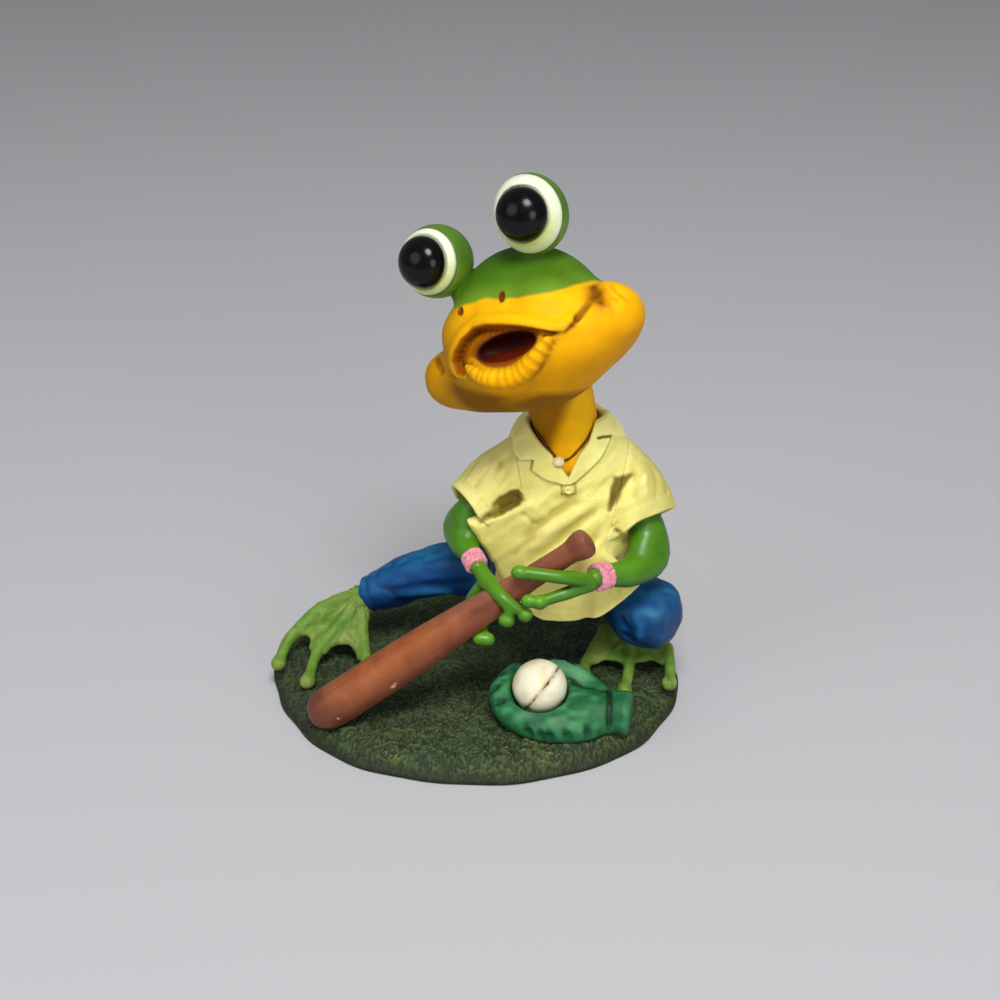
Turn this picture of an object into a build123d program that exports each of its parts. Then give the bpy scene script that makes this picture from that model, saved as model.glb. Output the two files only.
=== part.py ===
"""Frog ball-player figurine: painted resin castings, glued together on a grass base.

Frame: +Z up, origin at the centre of the base's underside. The front is -Y, so the frog's own
right side is at -X. Millimetres and degrees.
"""

import os

from build123d import *

os.makedirs("parts", exist_ok=True)

# Base
BASE_WIDTH = 86.0
BASE_DEPTH = 73.0
BASE_HEIGHT = 4.5
BASE_SHOULDER = 3.2
TUFT_PITCH = 7.3
TUFT_HOLLOW_RADIUS = 2.9
TUFT_HOLLOW_DEPTH = 0.7

# Glue joints: a peg or a limb's end sits in a socket that is this much wider and deeper
GLUE_GAP = 0.1
PEG_RADIUS = 1.5
PEG_LENGTH = 3.0
EYE_PEG_RADIUS = 2.0
EYE_PEG_LENGTH = 4.0
BULB_FLAT = 0.2

# Feet
ANKLE_RADIUS = 2.9
ANKLE_STUB = 5.0
TOE_RADIUS = 1.1
TOE_PAD_RADIUS = 1.8
WEB_HALF_THICKNESS = 0.9
WEB_SCALLOP_RADIUS = 2.6
INSTEP_HEIGHT = 2.2

# Trousers
SEAT_HALF_WIDTH = 12.0
SEAT_HALF_DEPTH = 9.8
SEAT_HALF_HEIGHT = 9.5
HIP_RADIUS = 6.0
KNEE_RADIUS = 6.9
CUFF_RADIUS = 4.1

# Shirt
SHIRT_HEM_HALF_WIDTH = 14.0
SHIRT_HEM_HALF_DEPTH = 12.0
CHEST_HALF_WIDTH = 13.2
CHEST_HALF_DEPTH = 10.2
SHIRT_LENGTH = 36.0
SLEEVE_MOUTH_RADIUS = 5.7
SLEEVE_WALL = 0.9
SLEEVE_HOLLOW = 3.5
COLLAR_THICKNESS = 1.0
COLLAR_LEAF = 5.0
COLLAR_SPREAD = 2.4
COLLAR_STAND = 3.5
NECKLINE_TILT = 0.5
COLLAR_SWEEP = 270.0
BUTTON_RADIUS = 0.9
BUTTON_THICKNESS = 0.6
BUTTON_SHANK_RADIUS = 0.4
BUTTON_SHANK_LENGTH = 1.5

# Arms and hands
ARM_RADIUS = 3.6
WRIST_RADIUS = 2.3
WRISTBAND_RADIUS = 3.1
WRISTBAND_LENGTH = 4.2
HAND_PEG_RADIUS = 1.1
PALM_RADIUS = 2.6
FINGER_RADIUS = 1.35
FINGER_PAD_RADIUS = 1.8

# Neck and head
NECK_RADIUS = 6.7
NECK_LENGTH = 16.0
HEAD_YAW = 28.0
HEAD_PITCH = 11.0
HEAD_ROLL = 30.5
SKULL_HALF_WIDTH = 16.5
SKULL_HALF_DEPTH = 13.5
SKULL_HALF_HEIGHT = 14.0
JAW_HALF_WIDTH = 23.0
JAW_HALF_DEPTH = 13.0
JAW_HALF_HEIGHT = 10.2
MUZZLE_HALF_WIDTH = 9.5
MUZZLE_HALF_DEPTH = 5.0
MUZZLE_HALF_HEIGHT = 6.3
MOUTH_HALF_WIDTH = 5.0
MOUTH_HALF_HEIGHT = 2.6
MOUTH_DEPTH = 7.0
EYE_RADIUS = 7.3
EYE_SPACING = 21.6
EYE_STALK_RADIUS = 4.6
PUPIL_RADIUS = 4.9
PUPIL_RECESS = 0.8
PUPIL_DOME = 3.6
PUPIL_FLAT = 0.4
EYE_SPLAY = 0.06

# Necklace
CORD_RADIUS = 0.35
BEAD_RADIUS = 1.1

# Bat, glove and ball
BAT_BARREL_RADIUS = 4.2
BAT_HANDLE_RADIUS = 2.1
BAT_KNOB_RADIUS = 3.0
BAT_KNOB_LENGTH = 3.0
BAT_END_FLAT = 0.9
BALL_RADIUS = 5.6


def above_grass(x, y, height):
    """A point at a height above the base's top face."""
    return Vector(x, y, BASE_HEIGHT + height)


def limb(stations, grow=0.0):
    """A round tapering limb lofted through a circle at each (centre, radius) station."""
    centres = [centre for centre, radius in stations]
    last = len(stations) - 1
    across = Plane(centres[0], z_dir=centres[1] - centres[0]).x_dir
    with BuildPart() as tube:
        for i, (centre, radius) in enumerate(stations):
            along = (centres[min(i + 1, last)] - centres[max(i - 1, 0)]).normalized()
            across = (across - along * across.dot(along)).normalized()
            with BuildSketch(Plane(centre, x_dir=across, z_dir=along)):
                Circle(radius + grow)
        loft()
    return tube.part


def ellipsoid(half_width, half_depth, half_height):
    """A sphere stretched to three half sizes, with its poles at the sides and its seam behind."""
    return scale(Rot(X=90) * Rot(Y=90) * Sphere(1), by=(half_width, half_depth, half_height))


def bulb(centre, along, radius):
    """A round knuckle or pad turned about a limb's direction."""
    turning = Plane(centre, z_dir=along)
    flat = radius * BULB_FLAT
    with BuildPart() as ball_end:
        with BuildSketch(Plane(centre, x_dir=turning.z_dir, z_dir=turning.x_dir)):
            with BuildLine():
                outline = Spline((-radius, flat), (0, radius), (radius, flat), tangents=[(0, 1), (0, -1)])
                Polyline(outline @ 1, (radius, 0), (-radius, 0), outline @ 0)
            make_face()
        revolve(axis=Axis(centre, turning.z_dir))
    return ball_end.part


def write(builder, name):
    """Labels a finished piece and writes its STEP file."""
    builder.part.label = name
    export_step(builder.part, f"parts/{name}.step")


# Places on the base
RIGHT_ANKLE = above_grass(-25.5, 12.8, 9.0)
LEFT_ANKLE = above_grass(32.5, 9.0, 7.0)
TOE_HEIGHT = TOE_PAD_RADIUS * 0.8
RIGHT_TOES = [(-41.2, 0.3), (-33.6, -10.6), (-21.5, -5.0)]
LEFT_TOES = [(39.4, -7.2), (29.3, -10.8), (22.8, -3.6)]
RIGHT_FOOT_PEG = (-30.5, 3.5)
LEFT_FOOT_PEG = (31.5, 0.5)
GLOVE_CENTRE = (19.5, -15.5)


def standing_room(spots, reach):
    """The middle and radius of a circle round spots on the grass, with some reach more."""
    middle = sum((Vector(x, y) for x, y in spots), Vector()) / len(spots)
    return middle, max((Vector(x, y) - middle).length for x, y in spots) + reach


# Grass: staggered hollows between tufts, clear of the rim and of what stands on the base
RIGHT_SOLE = [(RIGHT_ANKLE.X, RIGHT_ANKLE.Y), *RIGHT_TOES]
LEFT_SOLE = [(LEFT_ANKLE.X, LEFT_ANKLE.Y), *LEFT_TOES]
GLOVE_SPREAD = [(5.5, -15.5), (14.5, -25.0), (16.0, -9.0), (31.0, -20.0)]
BAT_REST = [(-31.5, -19.6), (-26.0, -19.2)]
hollow_reach = TUFT_HOLLOW_RADIUS + TOE_PAD_RADIUS
rooms = [standing_room(spots, hollow_reach) for spots in (RIGHT_SOLE, LEFT_SOLE, GLOVE_SPREAD, BAT_REST)]
grass_half_width = BASE_WIDTH / 2 - BASE_SHOULDER - TUFT_HOLLOW_RADIUS
grass_half_depth = BASE_DEPTH / 2 - BASE_SHOULDER - TUFT_HOLLOW_RADIUS
row_pitch = TUFT_PITCH * 3**0.5 / 2
row_count = round(grass_half_depth / row_pitch)
column_count = round(grass_half_width / TUFT_PITCH)
hollow_centres = []
for row in range(-row_count, row_count + 1):
    for column in range(-column_count, column_count + 1):
        spot = Vector((column + row % 2 / 2) * TUFT_PITCH, row * row_pitch)
        on_grass = (spot.X / grass_half_width) ** 2 + (spot.Y / grass_half_depth) ** 2 < 1
        if on_grass and all((spot - middle).length > radius for middle, radius in rooms):
            hollow_centres.append(above_grass(spot.X, spot.Y, TUFT_HOLLOW_DEPTH))
tuft_hollow = ellipsoid(TUFT_HOLLOW_RADIUS, TUFT_HOLLOW_RADIUS, TUFT_HOLLOW_DEPTH * 2)

# Base: an oval slab with a rounded shoulder and a blind socket under each thing that stands on it
with BuildPart() as base:
    with BuildSketch():
        Ellipse(BASE_WIDTH / 2, BASE_DEPTH / 2)
    extrude(amount=BASE_HEIGHT)
    fillet(base.faces().sort_by(Axis.Z)[-1].edges(), BASE_SHOULDER)
    with Locations(*hollow_centres):
        add(tuft_hollow, mode=Mode.SUBTRACT)
    with BuildSketch(Plane.XY.offset(BASE_HEIGHT)):
        with Locations(RIGHT_FOOT_PEG, LEFT_FOOT_PEG, GLOVE_CENTRE):
            Circle(PEG_RADIUS + GLUE_GAP)
    extrude(amount=-(PEG_LENGTH + GLUE_GAP), mode=Mode.SUBTRACT)
write(base, "base")


# Trousers: the seat, and a leg each side whose hip end sits in it
seat_centre = above_grass(17.5, 7.0, 18.5)
right_hip = seat_centre + Vector(-7.5, 0.5, -1.0)
left_hip = seat_centre + Vector(6.5, -1.0, -0.5)
left_knee = above_grass(36.2, -3.6, 17.0)

right_leg_stations = [
    (right_hip, HIP_RADIUS),
    (above_grass(-2.0, 10.0, 17.6), 6.9),
    (above_grass(-13.0, 11.2, 14.9), 5.7),
    (RIGHT_ANKLE + Vector(2.0, -0.4, 1.2), CUFF_RADIUS),
]
left_thigh_stations = [
    (left_hip, HIP_RADIUS),
    ((left_hip + left_knee) * 0.5 + Vector(0, 0, 1.0), 6.8),
    (left_knee, KNEE_RADIUS * 0.93),
]
left_shin_stations = [
    (left_knee, KNEE_RADIUS * 0.9),
    ((left_knee + LEFT_ANKLE) * 0.5, 5.2),
    (LEFT_ANKLE + Vector(0, -0.6, 1.4), CUFF_RADIUS),
]


def ankle_stub(ankle, towards, grow=0.0):
    """The round end of a foot that goes up into the trouser cuff."""
    reach = (towards - ankle).normalized() * (ANKLE_STUB + grow)
    return limb([(ankle, ANKLE_RADIUS), (ankle + reach, ANKLE_RADIUS * 0.85)], grow)


right_leg_form = limb(right_leg_stations)
right_stub_socket = ankle_stub(RIGHT_ANKLE, right_leg_stations[2][0], GLUE_GAP)
with BuildPart() as right_trouser_leg:
    add(right_leg_form)
    add(right_stub_socket, mode=Mode.SUBTRACT)
write(right_trouser_leg, "right_trouser_leg")

left_thigh_form = limb(left_thigh_stations)
left_shin_form = limb(left_shin_stations)
left_stub_socket = ankle_stub(LEFT_ANKLE, left_knee, GLUE_GAP)
with BuildPart() as left_trouser_leg:
    add(left_thigh_form)
    add(left_shin_form)
    with Locations(left_knee):
        Sphere(KNEE_RADIUS)
    add(left_stub_socket, mode=Mode.SUBTRACT)
write(left_trouser_leg, "left_trouser_leg")

seat_form = ellipsoid(SEAT_HALF_WIDTH, SEAT_HALF_DEPTH, SEAT_HALF_HEIGHT)
right_hip_socket = limb(right_leg_stations, GLUE_GAP)
left_hip_socket = limb(left_thigh_stations, GLUE_GAP)
with BuildPart() as trouser_seat:
    with Locations(seat_centre):
        add(seat_form)
    add(right_hip_socket, mode=Mode.SUBTRACT)
    add(left_hip_socket, mode=Mode.SUBTRACT)
write(trouser_seat, "trouser_seat")

# Feet: a fan of web between three toes with round pads, a peg under the sole, a stub up the cuff
def make_foot(name, ankle, stub, toes, peg_place, leg_form):
    pads = [above_grass(x, y, TOE_HEIGHT) for x, y in toes]
    heel = above_grass(ankle.X, ankle.Y, TOE_HEIGHT)
    forward = pads[1] - heel
    lateral = forward.cross(Vector(0, 0, 1))
    spread = (pads[0] - pads[2]).length / 2
    instep = heel + forward * 0.36 + Vector(0, 0, INSTEP_HEIGHT)
    toe_forms = [
        limb([(instep, TOE_RADIUS * 1.4), ((instep + pad) * 0.5, TOE_RADIUS), (pad, TOE_RADIUS)])
        for pad in pads
    ]
    scallops = [(a + b) * 0.5 for a, b in zip(pads, pads[1:])]
    with BuildPart() as foot:
        with BuildSketch(Plane(ankle, lateral, forward)):
            Circle(ANKLE_RADIUS)
        with BuildSketch(Plane(instep, lateral, forward)):
            Ellipse(spread * 0.7, WEB_HALF_THICKNESS * 2)
        with BuildSketch(Plane(heel + forward * 0.78, lateral, forward)):
            Ellipse(spread * 1.0, WEB_HALF_THICKNESS)
        loft()
        with Locations(*scallops):
            Cylinder(WEB_SCALLOP_RADIUS, TOE_PAD_RADIUS * 4, mode=Mode.SUBTRACT)
        for toe_form in toe_forms:
            add(toe_form)
        with Locations(*pads):
            Sphere(TOE_PAD_RADIUS)
        with BuildSketch(Plane.XY.offset(BASE_HEIGHT)):
            with Locations(peg_place):
                Circle(PEG_RADIUS * 1.6)
        extrude(amount=TOE_HEIGHT)
        split(bisect_by=Plane.XY.offset(BASE_HEIGHT), keep=Keep.TOP)
        with BuildSketch(Plane.XY.offset(BASE_HEIGHT)):
            with Locations(peg_place):
                Circle(PEG_RADIUS)
        extrude(amount=-PEG_LENGTH)
        add(leg_form, mode=Mode.SUBTRACT)
        add(stub)
    write(foot, name)


right_stub = ankle_stub(RIGHT_ANKLE, right_leg_stations[2][0])
make_foot("right_foot", RIGHT_ANKLE, right_stub, RIGHT_TOES, RIGHT_FOOT_PEG, right_leg_form)
left_stub = ankle_stub(LEFT_ANKLE, left_knee)
make_foot("left_foot", LEFT_ANKLE, left_stub, LEFT_TOES, LEFT_FOOT_PEG, left_shin_form)


# Places on the torso
hem = above_grass(18.3, 2.5, 18.0)
neck_root = hem + Vector(0.5, 1.0, SHIRT_LENGTH - 3.5)
right_shoulder = neck_root + Vector(-9.3, 0.3, -5.0)
left_shoulder = neck_root + Vector(9.4, 0.3, -5.0)
right_sleeve_mouth = right_shoulder + Vector(-9.2, -5.0, -6.2)
left_sleeve_mouth = left_shoulder + Vector(6.0, -6.3, -8.6)
neck_top = neck_root + Vector(-2.6, -3.1, NECK_LENGTH - 2.0)
head_centre = neck_root + Vector(-7.4, -9.4, NECK_LENGTH + 12.0)

# Bat: turned about its own axis, from the knob in the left hand to the barrel's end on the grass
bat_knob_end = neck_root + Vector(3.8, -18.3, -11.4)
bat_barrel_end = above_grass(-31.5, -19.6, 1.3)
bat_along = (bat_barrel_end - bat_knob_end).normalized()
bat_length = (bat_barrel_end - bat_knob_end).length
bat_plane = Plane(bat_knob_end, x_dir=bat_along, z_dir=bat_along.cross(Vector(0, 0, 1)))
with BuildPart() as bat:
    with BuildSketch(bat_plane):
        with BuildLine():
            knob = Spline(
                (0, BAT_END_FLAT),
                (BAT_KNOB_LENGTH * 0.35, BAT_KNOB_RADIUS * 0.92),
                (BAT_KNOB_LENGTH * 0.8, BAT_KNOB_RADIUS * 0.9),
                (BAT_KNOB_LENGTH * 1.6, BAT_HANDLE_RADIUS),
                tangents=[(0, 1), (1, 0)],
            )
            body = Spline(
                knob @ 1,
                (bat_length * 0.3, BAT_HANDLE_RADIUS * 1.15),
                (bat_length * 0.62, BAT_BARREL_RADIUS * 0.9),
                (bat_length - BAT_BARREL_RADIUS * 0.7, BAT_BARREL_RADIUS),
                tangents=[(1, 0), (1, 0)],
            )
            end = Spline(body @ 1, (bat_length, BAT_END_FLAT), tangents=[(1, 0), (0, -1)])
            Polyline(end @ 1, (bat_length, 0), (0, 0), knob @ 0)
        make_face()
    revolve(axis=Axis(bat_knob_end, bat_along))
    split(bisect_by=Plane.XY.offset(BASE_HEIGHT), keep=Keep.TOP)
write(bat, "bat")

# Shirt: lofted up from the hem, hollow where the seat and thighs come up into it
shirt_stations = [
    (hem, SHIRT_HEM_HALF_WIDTH, SHIRT_HEM_HALF_DEPTH),
    (
        hem + Vector(0.1, -0.5, SHIRT_LENGTH * 0.25),
        SHIRT_HEM_HALF_WIDTH * 0.97,
        SHIRT_HEM_HALF_DEPTH * 0.95,
    ),
    (hem + Vector(0.3, 0.3, SHIRT_LENGTH * 0.58), CHEST_HALF_WIDTH, CHEST_HALF_DEPTH),
    (hem + Vector(0.5, 0.9, SHIRT_LENGTH * 0.84), CHEST_HALF_WIDTH * 0.97, CHEST_HALF_DEPTH * 0.9),
    (hem + Vector(0.6, 1.1, SHIRT_LENGTH), CHEST_HALF_WIDTH * 0.66, CHEST_HALF_DEPTH * 0.7),
]
neck_stations = [
    (neck_root - Vector(0, 0, PEG_LENGTH * 2), NECK_RADIUS * 0.85),
    (neck_root, NECK_RADIUS),
    ((neck_root + neck_top) * 0.5 + Vector(0.5, 0.5, 0), NECK_RADIUS * 0.96),
    (neck_top, NECK_RADIUS),
    (neck_top + Vector(-1.4, -1.6, PEG_LENGTH * 2), NECK_RADIUS * 0.8),
]
right_sleeve_stations = [
    (right_shoulder, SLEEVE_MOUTH_RADIUS * 1.1),
    ((right_shoulder + right_sleeve_mouth) * 0.5 + Vector(-0.2, 0, 1.0), SLEEVE_MOUTH_RADIUS * 1.08),
    (right_sleeve_mouth, SLEEVE_MOUTH_RADIUS),
]
left_sleeve_stations = [
    (left_shoulder, SLEEVE_MOUTH_RADIUS * 1.1),
    ((left_shoulder + left_sleeve_mouth) * 0.5 + Vector(1.0, 0, 0.8), SLEEVE_MOUTH_RADIUS * 1.1),
    (left_sleeve_mouth, SLEEVE_MOUTH_RADIUS * 1.1),
]
button_place = hem + Vector(0.4, -9.0, SHIRT_LENGTH * 0.75)
button_plane = Plane(button_place, x_dir=(1, 0, 0), z_dir=(0, -1, 0.25))

shirt_cutters = [
    limb(neck_stations, GLUE_GAP),
    limb(right_sleeve_stations, GLUE_GAP),
    limb(left_sleeve_stations, GLUE_GAP),
    limb(right_leg_stations, GLUE_GAP),
    limb(left_thigh_stations, GLUE_GAP),
]
seat_socket = ellipsoid(
    SEAT_HALF_WIDTH + GLUE_GAP, SEAT_HALF_DEPTH + GLUE_GAP, SEAT_HALF_HEIGHT + GLUE_GAP
)
neckline = Plane(neck_root + Vector(0, 0, 1.0), x_dir=(1, 0, 0), z_dir=(0, -NECKLINE_TILT, 1))
with BuildPart() as torso:
    for centre, half_width, half_depth in shirt_stations:
        with BuildSketch(Plane(centre)):
            Ellipse(half_width, half_depth)
    loft()
    split(bisect_by=neckline, keep=Keep.BOTTOM)
with BuildPart() as shirt:
    add(torso.part)
    with Locations(seat_centre):
        add(seat_socket, mode=Mode.SUBTRACT)
    for cutter in shirt_cutters:
        add(cutter, mode=Mode.SUBTRACT)
    with BuildSketch(button_plane):
        Circle(BUTTON_SHANK_RADIUS + GLUE_GAP)
    extrude(amount=BUTTON_SHANK_LENGTH + GLUE_GAP, both=True, mode=Mode.SUBTRACT)
write(shirt, "shirt")

# Arms: from inside the sleeve round the elbow to the wrist
right_wrist = bat_knob_end + Vector(-22.2, 5.5, -7.4)
left_wrist = bat_knob_end + Vector(3.6, 0.3, -8.2)
right_elbow = right_sleeve_mouth + Vector(-2.8, 2.2, -5.6)
left_elbow = left_sleeve_mouth + Vector(1.2, -3.2, -7.4)
right_arm_stations = [
    (right_sleeve_mouth + (right_shoulder - right_sleeve_mouth) * 0.5, ARM_RADIUS * 0.92),
    (right_sleeve_mouth + Vector(-0.4, 0.8, -1.4), ARM_RADIUS * 0.98),
    (right_elbow, ARM_RADIUS),
    (right_elbow + (right_wrist - right_elbow) * 0.55 + Vector(-0.7, 0, -0.3), ARM_RADIUS * 0.84),
    (right_wrist, WRIST_RADIUS),
    (right_wrist + (right_wrist - right_elbow).normalized() * WRISTBAND_LENGTH / 2, WRIST_RADIUS),
]
left_arm_stations = [
    (left_sleeve_mouth + (left_shoulder - left_sleeve_mouth) * 0.5, ARM_RADIUS * 0.96),
    (left_sleeve_mouth + Vector(0.4, -0.6, -1.5), ARM_RADIUS * 1.02),
    (left_elbow, ARM_RADIUS * 1.02),
    (left_elbow + (left_wrist - left_elbow) * 0.55 + Vector(0.6, -0.6, -0.5), ARM_RADIUS * 0.86),
    (left_wrist, WRIST_RADIUS),
    (left_wrist + (left_wrist - left_elbow).normalized() * WRISTBAND_LENGTH / 2, WRIST_RADIUS),
]


def end_plane(stations):
    """The plane of a limb's last circle, facing on along the limb."""
    return Plane(stations[-1][0], z_dir=stations[-1][0] - stations[-2][0])


def make_sleeve(name, stations, arm_stations):
    form = limb(stations)
    mouth, mouth_radius = stations[-1]
    inward = (stations[-2][0] - mouth).normalized()
    hollow = limb([
        (mouth - inward * SLEEVE_WALL, mouth_radius - SLEEVE_WALL),
        (mouth + inward * SLEEVE_HOLLOW, mouth_radius - SLEEVE_WALL * 1.5),
    ])
    arm_socket = limb(arm_stations, GLUE_GAP)
    with BuildPart() as sleeve:
        add(form)
        add(hollow, mode=Mode.SUBTRACT)
        add(arm_socket, mode=Mode.SUBTRACT)
    write(sleeve, name)


make_sleeve("right_sleeve", right_sleeve_stations, right_arm_stations)
make_sleeve("left_sleeve", left_sleeve_stations, left_arm_stations)


def make_arm(name, stations):
    form = limb(stations)
    with BuildPart() as arm:
        add(form)
        with BuildSketch(end_plane(stations)):
            Circle(HAND_PEG_RADIUS + GLUE_GAP)
        extrude(amount=-(PEG_LENGTH + GLUE_GAP), mode=Mode.SUBTRACT)
    write(arm, name)


def make_wristband(name, stations):
    arm_bore = limb(stations, GLUE_GAP)
    with BuildPart() as band:
        with BuildSketch(end_plane(stations)):
            Circle(WRISTBAND_RADIUS)
        extrude(amount=-WRISTBAND_LENGTH)
        fillet(band.edges(), WRISTBAND_LENGTH * 0.2)
        add(arm_bore, mode=Mode.SUBTRACT)
    write(band, name)


make_arm("right_arm", right_arm_stations)
make_arm("left_arm", left_arm_stations)
make_wristband("right_wristband", right_arm_stations)
make_wristband("left_wristband", left_arm_stations)


# Hands: a palm and long fingers with round pads that go round the bat
def make_hand(name, arm_stations, palm, fingers):
    wrist = end_plane(arm_stations)
    forms = [
        limb([(wrist.origin, WRIST_RADIUS), (palm, PALM_RADIUS * 0.9)]),
        bulb(palm, palm - wrist.origin, PALM_RADIUS),
    ]
    for middle, tip in fingers:
        forms.append(limb([(palm, FINGER_RADIUS), (middle, FINGER_RADIUS), (tip, FINGER_RADIUS)]))
        forms.append(bulb(tip, tip - middle, FINGER_PAD_RADIUS))
    with BuildPart() as hand:
        for form in forms:
            add(form)
        add(bat.part, mode=Mode.SUBTRACT)
        split(bisect_by=wrist, keep=Keep.TOP)
        with BuildSketch(wrist):
            Circle(HAND_PEG_RADIUS)
        extrude(amount=-PEG_LENGTH)
    write(hand, name)


right_palm = bat_knob_end + Vector(-19.5, -0.1, -10.0)
right_fingers = [
    (right_palm + Vector(2.0, -4.6, -1.0), right_palm + Vector(5.4, -4.2, -6.0)),
    (right_palm + Vector(4.4, -4.6, -0.8), right_palm + Vector(8.4, -3.8, -5.2)),
    (right_palm + Vector(-2.6, 1.8, -6.0), right_palm + Vector(-0.4, -2.6, -11.6)),
]
left_palm = bat_knob_end + Vector(-0.3, -2.7, -8.4)
left_fingers = [
    (left_palm + Vector(-6.6, -3.4, 1.8), left_palm + Vector(-13.4, -1.5, 2.6)),
    (left_palm + Vector(-3.6, -3.2, -2.4), left_palm + Vector(-8.8, -4.2, -4.6)),
]
make_hand("right_hand", right_arm_stations, right_palm, right_fingers)
make_hand("left_hand", left_arm_stations, left_palm, left_fingers)

# Neck: its lower end sits in the shirt and its upper end in the head
neck_form = limb(neck_stations)
with BuildPart() as neck:
    add(neck_form)
write(neck, "neck")

# Head: skull, wide jaw and muzzle in one casting, tipped and turned towards the frog's right
head_frame = Plane(
    Pos(*head_centre) * Rot(Z=-HEAD_YAW) * Rot(X=-HEAD_PITCH) * Rot(Y=-HEAD_ROLL)
)


def in_head(x, y, z):
    """A point given in the head's own frame: x to its left, -y forward, z up."""
    return head_frame.from_local_coords(Vector(x, y, z))


def eye_frame(sign):
    """An eye's own frame: z out along its gaze, x up away from its stalk."""
    centre = in_head(sign * EYE_SPACING / 2, -5.0, 19.2)
    gaze = (in_head(sign * EYE_SPLAY, -1, 0) - head_centre).normalized()
    upward = (in_head(0, 0, 1) - head_centre).cross(gaze)
    return Plane(centre, x_dir=gaze.cross(upward), z_dir=gaze)


eye_frames = {"right": eye_frame(-1), "left": eye_frame(1)}
eye_roots = {
    "right": in_head(-EYE_SPACING * 0.36, -1.5, 8.0),
    "left": in_head(EYE_SPACING * 0.36, -1.5, 8.0),
}


def eye_peg(side, grow=0.0):
    """The peg on the underside of an eyeball that goes down into its stalk."""
    eye = eye_frames[side].origin
    inward = (eye_roots[side] - eye).normalized()
    start = eye + inward * EYE_RADIUS * 0.8
    end = eye + inward * (EYE_RADIUS + EYE_PEG_LENGTH + grow)
    return limb([(start, EYE_PEG_RADIUS), (end, EYE_PEG_RADIUS)], grow)


def eye_stalk(side):
    """The stalk on the head that an eyeball sits on."""
    eye = eye_frames[side].origin
    return limb([(eye_roots[side], EYE_STALK_RADIUS), (eye, EYE_STALK_RADIUS * 0.9)])


skull_form = ellipsoid(SKULL_HALF_WIDTH, SKULL_HALF_DEPTH, SKULL_HALF_HEIGHT)
jaw_form = ellipsoid(JAW_HALF_WIDTH, JAW_HALF_DEPTH, JAW_HALF_HEIGHT)
muzzle_form = ellipsoid(MUZZLE_HALF_WIDTH, MUZZLE_HALF_DEPTH, MUZZLE_HALF_HEIGHT)
mouth_form = ellipsoid(MOUTH_HALF_WIDTH, MOUTH_DEPTH, MOUTH_HALF_HEIGHT)
head_pieces = [
    head_frame.location * Pos(0, 0.5, 0.5) * skull_form,
    head_frame.location * Pos(0, -1.5, -3.2) * jaw_form,
    head_frame.location * Pos(0, -JAW_HALF_DEPTH, -1.8) * muzzle_form,
    eye_stalk("right"),
    eye_stalk("left"),
]
head_cutters = [
    head_frame.location * Pos(0, -JAW_HALF_DEPTH - MUZZLE_HALF_DEPTH, -1.8) * mouth_form,
    limb(neck_stations, GLUE_GAP),
    eye_peg("right", GLUE_GAP),
    eye_peg("left", GLUE_GAP),
]
with BuildPart() as head:
    for piece in head_pieces:
        add(piece)
    with Locations(eye_frames["right"].location, eye_frames["left"].location):
        Sphere(EYE_RADIUS + GLUE_GAP, mode=Mode.SUBTRACT)
    for cutter in head_cutters:
        add(cutter, mode=Mode.SUBTRACT)
write(head, "head")

# Eyeballs, each with a shallow round recess in front that takes the domed pupil
PUPIL_SEAT = (EYE_RADIUS**2 - PUPIL_RADIUS**2) ** 0.5


def make_eye(side):
    frame = eye_frames[side]
    recess = frame.offset(PUPIL_SEAT - PUPIL_RECESS)
    peg = eye_peg(side)
    with BuildPart() as eyeball:
        with Locations(frame.location):
            Sphere(EYE_RADIUS)
        add(peg)
        with BuildSketch(recess):
            Circle(PUPIL_RADIUS + GLUE_GAP)
        extrude(amount=EYE_RADIUS, mode=Mode.SUBTRACT)
    write(eyeball, f"{side}_eyeball")
    with BuildPart() as pupil:
        with BuildSketch(Plane(recess.origin, x_dir=frame.x_dir, z_dir=-frame.y_dir)):
            with BuildLine():
                rim = Polyline((0, 0), (PUPIL_RADIUS, 0), (PUPIL_RADIUS, PUPIL_RECESS))
                dome = Spline(rim @ 1, (PUPIL_FLAT, PUPIL_RECESS + PUPIL_DOME), tangents=[(0, 1), (-1, 0)])
                Polyline(dome @ 1, (0, PUPIL_RECESS + PUPIL_DOME), (0, 0))
            make_face()
        revolve(axis=Axis(recess.origin, frame.z_dir))
    write(pupil, f"{side}_pupil")


make_eye("right")
make_eye("left")

# Collar: a turned-down leaf round the neck, open at the front
collar_plane = neckline.offset(COLLAR_STAND)
collar_start = 180 + (360 - COLLAR_SWEEP) / 2
collar_front = collar_plane.y_dir.rotate(Axis((0, 0, 0), collar_plane.z_dir), collar_start)
collar_section = Plane(
    collar_plane.origin, x_dir=collar_front, z_dir=collar_plane.z_dir.cross(collar_front)
)
collar_cutters = [torso.part, limb(right_sleeve_stations), limb(left_sleeve_stations)]
collar_inner = NECK_RADIUS + CORD_RADIUS * 4.8
with BuildPart() as collar:
    with BuildSketch(collar_section):
        with BuildLine():
            Polyline(
                (collar_inner, 0),
                (collar_inner + COLLAR_THICKNESS, 0),
                (collar_inner + COLLAR_THICKNESS + COLLAR_SPREAD, COLLAR_LEAF),
                (collar_inner + COLLAR_SPREAD, COLLAR_LEAF),
                close=True,
            )
        make_face()
    revolve(axis=Axis(collar_plane.origin, collar_plane.z_dir), revolution_arc=COLLAR_SWEEP)
    for cutter in collar_cutters:
        add(cutter, mode=Mode.SUBTRACT)
write(collar, "collar")

# Shirt button: a small disc on a shank
with BuildPart() as shirt_button:
    with BuildSketch(button_plane):
        Circle(BUTTON_RADIUS)
    extrude(amount=BUTTON_THICKNESS)
    with BuildSketch(button_plane):
        Circle(BUTTON_SHANK_RADIUS)
    extrude(amount=-BUTTON_SHANK_LENGTH)
write(shirt_button, "shirt_button")

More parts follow.
